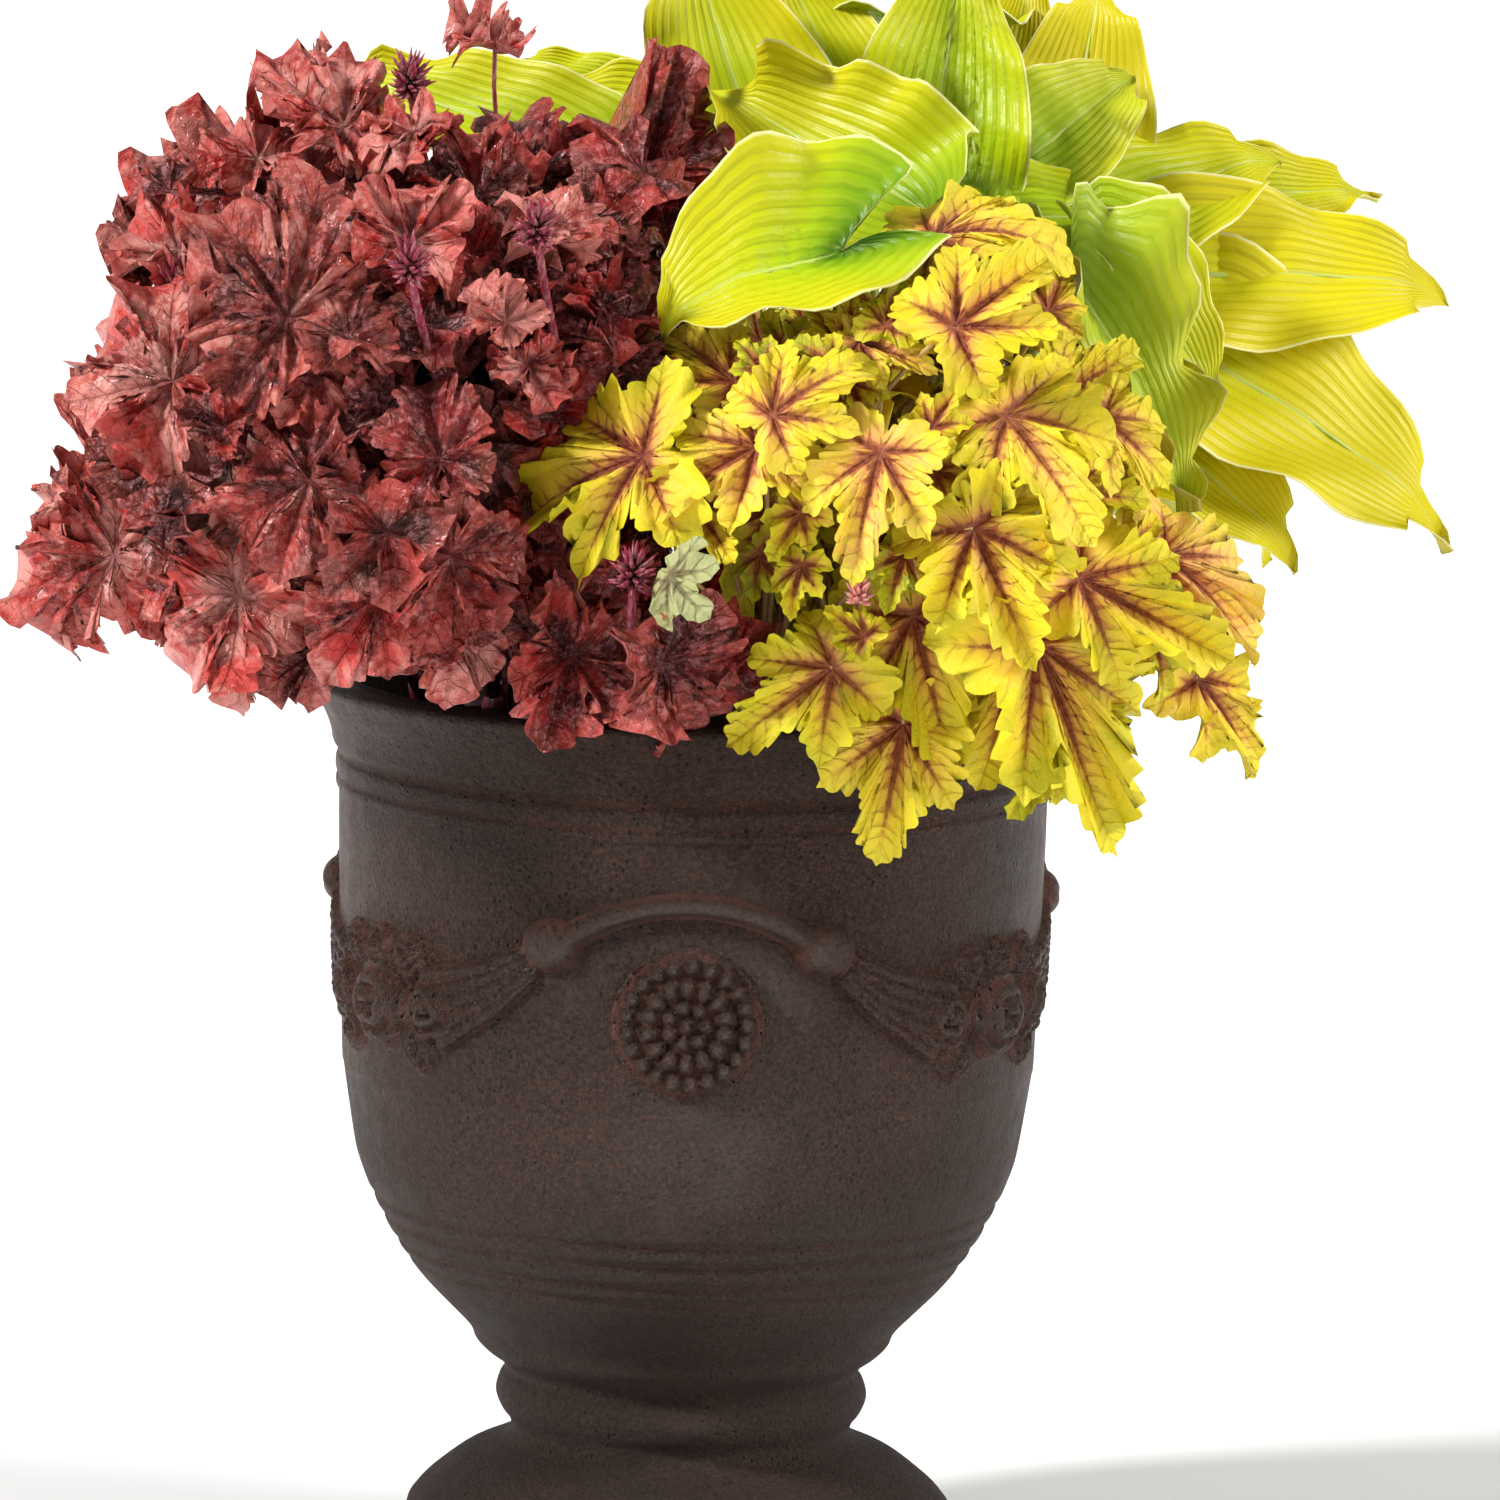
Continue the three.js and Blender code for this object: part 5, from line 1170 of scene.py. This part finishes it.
# ---------------------------------------------------------------- palm-shaped leaves
# leaves smaller and leaves narrower than in the solid, by seed
SMALL = {222: 0.75}
SLIM = {102: 0.72, 203: 0.66, 209: 0.9, 212: 0.8, 213: 0.8, 214: 0.8, 416: 0.85}


def palm_margin(leaf, kind, per_side, teeth):
    """Margin of a lobed blade as flat places and lifts, with the corners that are lobe tips. The corners are
    those of the solid's blade, but slim times as wide, up to uneven less far out, and notches cut times as
    far out. With d the place on a side counted from its lobe tip, the side swells by swell * sin(pi d^early)
    and carries teeth, humps of tooth * sin(pi q)^blunt whose crests lie at lean of their width."""
    corner = blade_edge(leaf, kind)
    corner[:, 0] *= kind.slim * SLIM.get(leaf.seed, 1)
    less = kind.uneven * (0.5 + 0.5 * draw(leaf.seed * 41 + np.arange(len(corner))))
    less[0] = 0
    corner[:, :2] *= (1 - less[:, None]) * SMALL.get(leaf.seed, 1)
    reach = np.hypot(corner[:, 0], corner[:, 1])
    tip = (reach > np.roll(reach, 1)) & (reach >= np.roll(reach, -1))
    notch = (reach < np.roll(reach, 1)) & (reach < np.roll(reach, -1))
    notch[len(kind.edge) - 1] = False
    corner[notch, :2] *= kind.cut
    n = len(corner)
    x = np.arange(per_side) / per_side
    nxt = np.roll(corner, -1, 0)
    span = nxt - corner
    size = np.hypot(span[:, 0], span[:, 1])[:, None]
    normal = np.stack([span[:, 1], -span[:, 0]], 1) / size
    normal *= np.sign((normal * (corner + nxt)[:, :2]).sum(1))[:, None]
    falls = np.hypot(corner[:, 0], corner[:, 1]) > np.hypot(nxt[:, 0], nxt[:, 1])
    d = np.where(falls[:, None], x, 1 - x)
    row = np.arange(n)[:, None]
    place = np.clip(d * teeth - 0.5, 0, None)
    phase = place % 1
    after = 0.5 + 0.5 * (phase - kind.lean) / (1 - kind.lean)
    q = np.where(phase < kind.lean, 0.5 * phase / kind.lean, after)
    tooth = kind.tooth * np.sin(np.pi * np.clip(q, 0, 1)) ** kind.blunt * np.clip(0.35 + 1.2 * d, 0, 1)
    tooth = tooth * (1 + 0.45 * draw(leaf.seed * 13 + np.floor(place) + 7 * row))
    swell = kind.swell * (1 + 0.3 * draw(leaf.seed * 5 + row)) * np.sin(np.pi * d ** kind.early)
    out = size * (swell + tooth) * (x > 0)
    edge = corner[:, None, :2] + span[:, None, :2] * x[:, None] + normal[:, None] * out[..., None]
    lift = corner[:, None, 2] + span[:, None, 2] * (0.5 - 0.5 * np.cos(np.pi * x))
    return edge.reshape(-1, 2), lift.reshape(-1), d.reshape(-1), corner[tip]


GROOVE_DEEP, GROOVE_WIDE = 1.0, 1.8
PUFF_LONG, VEIN_WIDE = 15, 4.5


def palm_blade(leaf, kind, tint):
    """Lobed blade on a grid of margin places by rings; t is the place from foot to margin. Height = lift
    t^1.5 + ruffle t^4 and frill t^5 (waves round the blade) + a curl t^3 of each lobe + cup t^2 + fold |u|
    + puffs between side veins + pleat * distance from the nearest main vein + a twist of each lobe about its
    vein - a groove along each main vein."""
    per_side, rings, teeth = (5, 4, 2.5) if leaf.under else (14, 7, 3.5)
    edge, lift, down, lobes = palm_margin(leaf, kind, per_side, teeth)
    m = len(edge)
    t = (1 - (1 - np.arange(1, rings + 1) / rings) ** 1.2)[:, None]
    u, v = edge[:, 0] * t, edge[:, 1] * t
    # main veins run from the foot to the lobe tips
    way = np.arctan2(lobes[:, 0], lobes[:, 1])
    far = np.hypot(u, v)
    gap = (np.arctan2(u, v)[..., None] - way + np.pi) % (2 * np.pi) - np.pi
    near = np.abs(gap).argmin(-1)
    gap = np.take_along_axis(gap, near[..., None], -1)[..., 0]
    off, along = far * np.abs(np.sin(np.clip(gap, -1.5, 1.5))), far * np.cos(gap)
    i, j, turn = around(m)
    seed, size = leaf.seed, leaf.len
    waves = kind.waves + np.round(2 * draw(seed + 9))
    ruffle = kind.ruffle * (np.sin(waves * turn + 5 * draw(seed + 3)) * (1 + 0.4 * wander(turn * 2, seed + 1))
                            + 0.5 * wander(turn * 6, seed))
    frills = 21 + np.round(4 * draw(seed + 4))
    frill = kind.frill * np.sin(frills * turn + seed) * (1 + 0.5 * wander(turn * 3, seed))
    curl = kind.curl * (draw(seed * 3 + near) - 0.25) * np.exp(-((gap / 0.4) ** 2))
    rise = kind.cup * (1 + draw(seed * 19)) * t**2 + kind.fold * abs(draw(seed * 23)) * np.abs(u) / size
    side = 1 - np.exp(-((off / VEIN_WIDE) ** 2))
    field = np.sin((along - 1.1 * off) * 2 * np.pi / PUFF_LONG + seed)
    puff = kind.puff * side * np.sin(np.pi * t**0.8) * (1 + 0.8 * field)
    w = size * (lift / size * t**1.5 + ruffle * t**4 + frill * t**5 + curl * t**3 + rise + puff)
    w = w + kind.pleat * (1 + 0.4 * draw(seed * 7 + near)) * off * (0.4 + 0.6 * t)
    w = w + kind.twist * draw(seed * 11 + near) * far * np.sin(gap) * (1 - down**2) * t**3
    w = w - GROOVE_DEEP * np.exp(-((off / GROOVE_WIDE) ** 2)) * (1 - t)
    half = kind.thick / 2
    top, low = (on_blade(leaf, kind, u, v, w + s).reshape(-1, 3) for s in (half, -half))
    zero = np.zeros(1)
    ends = [on_blade(leaf, kind, zero, zero, zero + s)[0] for s in (half, -half)]
    count = rings * m
    points = np.vstack([top, low, ends])
    tris = np.vstack([fan(2 * count, i, j), fan(2 * count + 1, count + j, count + i)])
    quads = grid_faces(rings, m, wrap=True)[:, [0, 3, 2, 1]]
    rim_top, rim_low = (rings - 1) * m + i, count + (rings - 1) * m + i
    wall = np.stack([rim_top, np.roll(rim_top, -1), np.roll(rim_low, -1), rim_low], 1)[:, ::-1]
    sharp = np.zeros(len(points), int)
    sharp[rim_top], sharp[rim_low] = 1, 2
    vein = np.stack([off * MM, along * MM, np.broadcast_to(t, off.shape)], -1).reshape(-1, 3)
    vein = np.vstack([vein, vein, np.zeros((2, 3))])
    return patch(points, np.vstack([quads, quads[:, ::-1] + count, wall]), tris, sharp, vein=vein, tint=tint)


def petiole(leaf, kind, count=14):
    """Petiole along its curve, ending at the foot of the blade, thicker at the root."""
    a, b, c, _ = leaf.controls
    path = bezier(a, b, c, leaf.foot - 0.3 * leaf.face, count)
    return tube(path, kind.stalk * (1.15 - 0.35 * np.linspace(0, 1, count)), 6 if leaf.under else 8)


def crown_stump(at):
    """Woody crown: a low knobbly cone half in the soil."""
    return tube([vec(*at, SOIL_Z + z) for z in (-24, -4, 10, 20)], np.array([10, 14.5, 13, 8.5]), 12)


# tones of leaves that differ from their plant, by seed: for red leaves tone, painted backlit red and brown,
# for yellow ones tone, strength of the veins and grey
TONES = {104: (-0.1, 0.55, 0), 105: (-0.05, 0.2, 0.1), 106: (-0.2, 0.5, 0), 108: (0.25, 0.75, 0),
         109: (0.2, 0.5, 0), 110: (0.15, 0.55, 0), 112: (0.15, 0.3, 0.25), 113: (-0.1, 0.5, 0),
         114: (0.05, 0.2, 0.35), 115: (0, 0.2, 0.3), 116: (0.2, 0.6, 0), 125: (0.25, 0.6, 0),
         126: (0.2, 0.8, 0), 127: (0.2, 0.7, 0), 135: (-0.15, 0, 0.9), 200: (-0.02, 1, 0), 208: (0.08, 1, 0),
         PALE_LEAF: (0, 0.8, 0.9)}


def leaf_tint(leaf, kind):
    """Tone of one leaf from its seed and place. Red leaves are brighter to the left as painted light from
    that side, and glow a stronger painted backlit red there; leaves under others are darker as painted shade."""
    a, b, c = (float(draw(leaf.seed * k + 2)) for k in (3, 5, 11))
    if leaf.seed in TONES:
        return TONES[leaf.seed]
    if kind is GOLD:
        # yellow leaves under others are darker: painted shade
        return (0.14 + 0.18 * a - 0.22 * leaf.under, 0.9 + 0.1 * b, 0.0)
    # red leaves to the left get painted light and a stronger painted backlit red; leaves under others get
    # painted shade
    left = clamp((-leaf.middle[0] - 240) / 160, 0, 1)
    return (0.03 + 0.30 * a + 0.12 * left - 0.22 * leaf.under, clamp(0.34 + 0.62 * b + 0.3 * left, 0.05, 1),
            max(0.0, 0.7 * c - 0.32))


groups = place_all()
for shoots, kind, leaf_m, stalk_m, slot in ((RED_SHOOTS, RED, RED_LEAF, RED_STALK, "heuchera_leaf"),
                                           (GOLD_SHOOTS, GOLD, GOLD_LEAF, GOLD_STALK, "heucherella_leaf")):
    for name, at, _ in shoots:
        blades = [palm_blade(leaf, {PALE_LEAF: PALE, 200: DEEP}.get(leaf.seed, kind), leaf_tint(leaf, kind))
                  for leaf in groups[name]]
        stalks = [petiole(leaf, kind) for leaf in groups[name]] + [crown_stump(at)]
        finishes = [leaf_m] * len(blades) + [stalk_m] * len(stalks)
        piece(name + "_leaves", blades + stalks, finishes, [name])

# ---------------------------------------------------------------- hosta leaves
# by seed: how far the margins rise, how much longer the lobes at the foot are, how green the foot is (on the
# most cupped and folded leaves partly painted shade)
CUPPED = {400: (0.20, 1.6, 0.55), 401: (0.10, 1.0, 0.30), 402: (0.02, 1.0, 0.30), 408: (0.06, 1.0, 0.10),
          416: (0.12, 1.0, 0.10), 417: (0.08, 1.0, 0.10)}
# blades folded tighter than in the solid, by seed
FOLDED = {416: 0.55, 417: 0.6, 408: 0.4}
# cross puckers of the hosta blades, in mm from one to the next
PUCKER_LONG = 13


def sunk(leaf, u, v):
    """How far a cupped blade lies lower round its foot: depth * exp(-(distance / (0.3 length))^2)."""
    depth = 0.35 * CUPPED.get(leaf.seed, (0.03,))[0] * leaf.len
    return -depth * np.exp(-(u**2 + v**2) / (0.3 * leaf.len) ** 2)


def hosta_blade(leaf, rows=31, ribs=8):
    """Heart-shaped blade ruled by lengthwise ribs: a rib is the mix (1 - x) * midrib + x * margin, with x
    from 0 to 1. Height = the solid's corner lift x^2 + ribs |sin(pi 8 x)| + margin waves x^3 + a fold that is
    deep at the foot + a tip that turns down + slow buckles + puckers across the ribs."""
    leaf = vary(leaf, fold=FOLDED.get(leaf.seed, leaf.fold))
    edge = blade_edge(leaf, HOSTA)
    edge[:, 0] *= SLIM.get(leaf.seed, 1)
    yellow, grey, pucker, wavy = leaf.finish
    cup, base, green = CUPPED.get(leaf.seed, (0.03, 1.0, 0.06))
    edge[(edge[:, 1] < 0) & (np.abs(edge[:, 0]) > 3), 1] *= base
    size, last = leaf.len, len(HOSTA_EDGE) - 1
    s = np.linspace(0, 1, rows) ** 0.95
    # the margin runs in to a drawn-out tip: three more corners between the tip and the first shoulder
    drawn_out = np.radians([3, 7, 12])
    reach = np.array([0.93, 0.87, 0.82]) * size
    sides = []
    left = np.vstack([edge[:1], edge[:last:-1], edge[last:last + 1]])
    for sign, corners in ((1, edge[:last + 1]), (-1, left)):
        beside = sign * reach * np.sin(drawn_out) * leaf.wide * 0.9
        tip = np.stack([beside, reach * np.cos(drawn_out), 0 * reach], 1)
        line = smooth(np.vstack([corners[:1], tip, corners[1:]])[::-1], 161)
        step = np.concatenate([[0], np.cumsum(np.linalg.norm(np.diff(line, axis=0), axis=1))])
        at = s * step[-1]
        sides.append(np.stack([np.interp(at, step, line[:, k]) for k in range(3)], 1))
    low = edge[last, 1]
    spine = np.stack([0 * s, low + (size - low) * (0.25 * s + 0.75 * s**1.5), 0 * s], 1)
    x_half = np.concatenate([np.linspace(0, 0.968, 2 * ribs + 1), [1.0]])
    x = np.concatenate([-x_half[:0:-1], x_half])[None, :, None]
    side = np.where(x < 0, sides[1][:, None], sides[0][:, None])
    a = np.abs(x)
    flat = (1 - a) * spine[:, None] + a * side
    a, x = a[..., 0], x[..., 0]
    along = s[:, None]
    # nothing at foot and tip, full between them
    arch = np.clip(np.sin(np.pi * along ** 0.8), 0, 1) ** 0.6
    u, v = flat[..., 0], flat[..., 1]
    rib = (0.1 + 1.0 * pucker) * np.abs(np.sin(np.pi * ribs * a)) * arch * (0.5 + a)
    wave = 0.07 * wavy * size * a**3 * np.clip(3 * along, 0, 1)
    wave = wave * wander(along * 11 + 4 * np.sign(x), leaf.seed)
    fold = 0.30 * np.abs(u) * np.clip(1 - along / 0.75, 0, 1) ** 1.5
    tip_down = -0.10 * size * np.clip((along - 0.82) / 0.18, 0, 1) ** 2 * (1 + 0.5 * draw(leaf.seed * 5))
    twist = 0.25 * draw(leaf.seed * 9) * u * np.clip((along - 0.5) / 0.5, 0, 1)
    dish = cup * size * a**2 * arch + sunk(leaf, u, v)
    buckle = 0.016 * size * wander(along * 8 + 1.4 * x, leaf.seed + 3) * arch
    rows_of = np.sin(v * 2 * np.pi / PUCKER_LONG + 2 * np.sin(9 * a))
    bumps = 1.7 * pucker * rows_of * np.sin(np.pi * ribs * a) ** 2 * arch
    w = side[..., 2] * a**2 + rib + wave + fold + tip_down + twist + dish + buckle + bumps
    half = HOSTA.thick / 2
    top, under = (on_blade(leaf, HOSTA, u, v, w + d).reshape(-1, 3) for d in (half, -half))
    n = x.shape[1]
    count = rows * n
    quads = grid_faces(rows, n)
    i = np.arange(count).reshape(rows, n)
    border = np.concatenate([i[0, :-1], i[:-1, -1], i[-1, :0:-1], i[:0:-1, 0]])
    wall = np.stack([border, np.roll(border, -1), np.roll(border, -1) + count, border + count], 1)
    sharp = np.zeros(2 * count, int)
    sharp[i[:, 0]] = sharp[i[:, -1]] = 1
    sharp[i[:, 0] + count] = sharp[i[:, -1] + count] = 2
    blade = np.stack([x + 0 * along, along + 0 * x, np.full((rows, n), pucker)], -1).reshape(-1, 3)
    shade = 0.05 * float(draw(leaf.seed * 3))
    return patch(np.vstack([top, under]), np.vstack([quads[:, ::-1], quads + count, wall]), sharp=sharp,
                 blade=np.vstack([blade, blade]), tint=(yellow + shade, grey, green))


def hosta_petiole(leaf, count=18):
    """Channelled stalk: a round bar that narrows upwards and runs on under the blade as the midrib."""
    a, b, c, _ = leaf.controls
    path = bezier(a, b, c, leaf.foot + (sunk(leaf, 0.0, 0.0) - 1.5) * leaf.face, count)
    k = np.array([0.12, 0.3, 0.5, 0.7])
    run = on_blade(leaf, HOSTA, 0 * k, k * leaf.len, sunk(leaf, 0 * k, k * leaf.len) - 1.6 + 1.5 * k)
    path = np.vstack([path, run])
    radii = np.concatenate([3.8 - 1.1 * np.linspace(0, 1, count), [2.2, 1.6, 1.1, 0.6]])
    return tube(path, radii, 10)


for name, (leaf, *_) in groups.items():
    if name.startswith("hosta"):
        number = int(name.rsplit("_", 1)[1])
        carried = [name] if number <= len(HOSTA_LEAVES) + len(HOSTA_FAR) else []
        piece(f"hosta_blade_{number}", [hosta_blade(leaf), hosta_petiole(leaf)], [HOSTA_LEAF, HOSTA_STALK],
              carried)

# ---------------------------------------------------------------- flower spikes
GOLDEN_ANGLE = 2.399963


def bud_head(mid, seed, count=52, radius=13.0):
    """Head of pointed bracts: slim drops of five sides on the golden spiral over a ball, each 0.6 to 1.1 of
    the radius long and turned up towards the tip of the spike."""
    k = np.arange(count)
    z = 1 - 1.75 * (k + 0.5) / count
    turn = k * GOLDEN_ANGLE + seed
    out = np.stack([np.sqrt(1 - z * z) * np.cos(turn), np.sqrt(1 - z * z) * np.sin(turn), z], 1)
    bracts = []
    for i, d in enumerate(out):
        long = radius * (0.85 + 0.25 * draw(seed * 5 + i))
        base = mid + d * radius * 0.2 + vec(0, 0, 0.35 * radius * d[2])
        lean = unit(d + vec(*(0.3 * draw(seed * 9 + 3 * i + j) for j in range(3))))
        t = np.array([0, 0.35, 0.7, 1.0])[:, None]
        path = base + lean * long * t + vec(0, 0, 2.5) * t**2
        bracts.append(tube(path, np.array([1.1, 1.75, 1.1, 0.2]), 5))
    return bracts


def hairs(controls, seed, count=70):
    """Short hairs nearly square to a stem, each a three-sided needle that ends 5 mm from its middle."""
    spans = 199
    path = bezier(*controls, spans + 1)
    out = []
    for i, s in enumerate(0.25 + 0.72 * (np.arange(count) + 0.5) / count):
        k = int(s * (spans - 1))
        p, ahead = path[k], unit(path[k + 1] - path[k])
        a = unit(np.cross(ahead, vec(0.3, 0.9, 0.1)))
        b = np.cross(ahead, a)
        turn = i * 2.4 + seed
        d = unit(math.cos(turn) * a + math.sin(turn) * b + 0.2 * ahead)
        out.append(tube([p + 2.2 * d, p + 5.0 * d], np.array([0.32, 0.12]), 3, (0.9, 0.9, 0.9)))
    return out


for i, row in enumerate(SPIKES):
    controls = spike_controls(row)
    stem = [tube(bezier(*controls, 26), 3.0 - 0.5 * np.linspace(0, 1, 26))] + hairs(controls, i)
    buds = bud_head(controls[3], i + 1)
    piece(f"flower_spike_{i + 1}", stem + buds, [SPIKE_STALK] * len(stem) + [BUD] * len(buds),
          [f"heuchera_flower_spike_{i + 1}"])

# a small head of coral florets between the yellow leaves
coral_top = sight(855, 600, -262)
coral = bud_head(coral_top, 9, 40, 7.5)
coral_foot = vec(60, -140, SOIL_Z - 10)
coral_stem = bezier(coral_top, coral_top - vec(0, -20, 30), vec(70, -170, 560), coral_foot, 14)
piece("coral_florets", coral + [tube(coral_stem, 1.0, 6, (0.5, 0.5, 0.5))],
      [CORAL] * len(coral) + [RED_STALK])

# ---------------------------------------------------------------- floor, light and camera
# name, strength, apparent width in degrees and way of each lamp
LAMPS = [("key", 3.9, 11, (0.9, 0.32, -0.66)), ("fill", 2.7, 26, (-0.92, 0.2, -0.55))]
FLOOR_HALF, SKY_STRENGTH = 60.0, 0.3
EYE_FAR, AIM = 8.0, Vector((0.0335, 0.0, 0.493))


def studio():
    """Plain pale floor, one wide soft key from the upper left front, a weak fill and an even pale sky."""
    plane = bpy.data.meshes.new("floor")
    corners = [(x * FLOOR_HALF, y * FLOOR_HALF, 0) for x, y in ((-1, -1), (1, -1), (1, 1), (-1, 1))]
    plane.from_pydata(corners, [], [(0, 1, 2, 3)])
    pale, node, place = material("pale_floor", Roughness=0.9, Specular_IOR_Level=0.1)
    tone = node("Mix RGBA", node("TexNoise", place, 3.0, 2.0), "#fbfbfa", "#f7f7f6")
    pale.node_tree.links.new(result(tone), pale.node_tree.nodes["Principled BSDF"].inputs["Base Color"])
    plane.materials.append(pale)
    floor = bpy.data.objects.new("floor", plane)
    bpy.context.scene.collection.objects.link(floor)
    world = bpy.data.worlds.new("pale_sky")
    world.use_nodes = True
    sky = world.node_tree.nodes["Background"]
    sky.inputs["Color"].default_value = (1.0, 1.0, 1.0, 1.0)
    sky.inputs["Strength"].default_value = SKY_STRENGTH
    bpy.context.scene.world = world
    for name, strength, wide, way in LAMPS:
        sun = bpy.data.lights.new(name, "SUN")
        sun.energy, sun.angle = strength, math.radians(wide)
        lamp = bpy.data.objects.new(name, sun)
        lamp.rotation_euler = Vector(way).to_track_quat("-Z", "Y").to_euler()
        bpy.context.scene.collection.objects.link(lamp)


def camera():
    """Long lens from 8 m, 8.9 degrees above level, rolled by 1.2 degrees, 0.9 m across at the urn."""
    cam = bpy.data.cameras.new("camera")
    cam.lens, cam.sensor_width, cam.clip_end = 320.0, 36.0, 200.0
    eye = bpy.data.objects.new("camera", cam)
    eye.location = AIM + EYE_FAR * Vector((0, -math.cos(LOOK_DOWN), math.sin(LOOK_DOWN)))
    eye.rotation_mode = "QUATERNION"
    straight = (AIM - eye.location).to_track_quat("-Z", "Y")
    eye.rotation_quaternion = straight @ Quaternion((0, 0, 1), ROLL)
    bpy.context.scene.collection.objects.link(eye)
    bpy.context.scene.camera = eye


studio()
camera()
bpy.context.scene.view_settings.view_transform = "Standard"
bpy.context.scene.view_settings.look = "None"
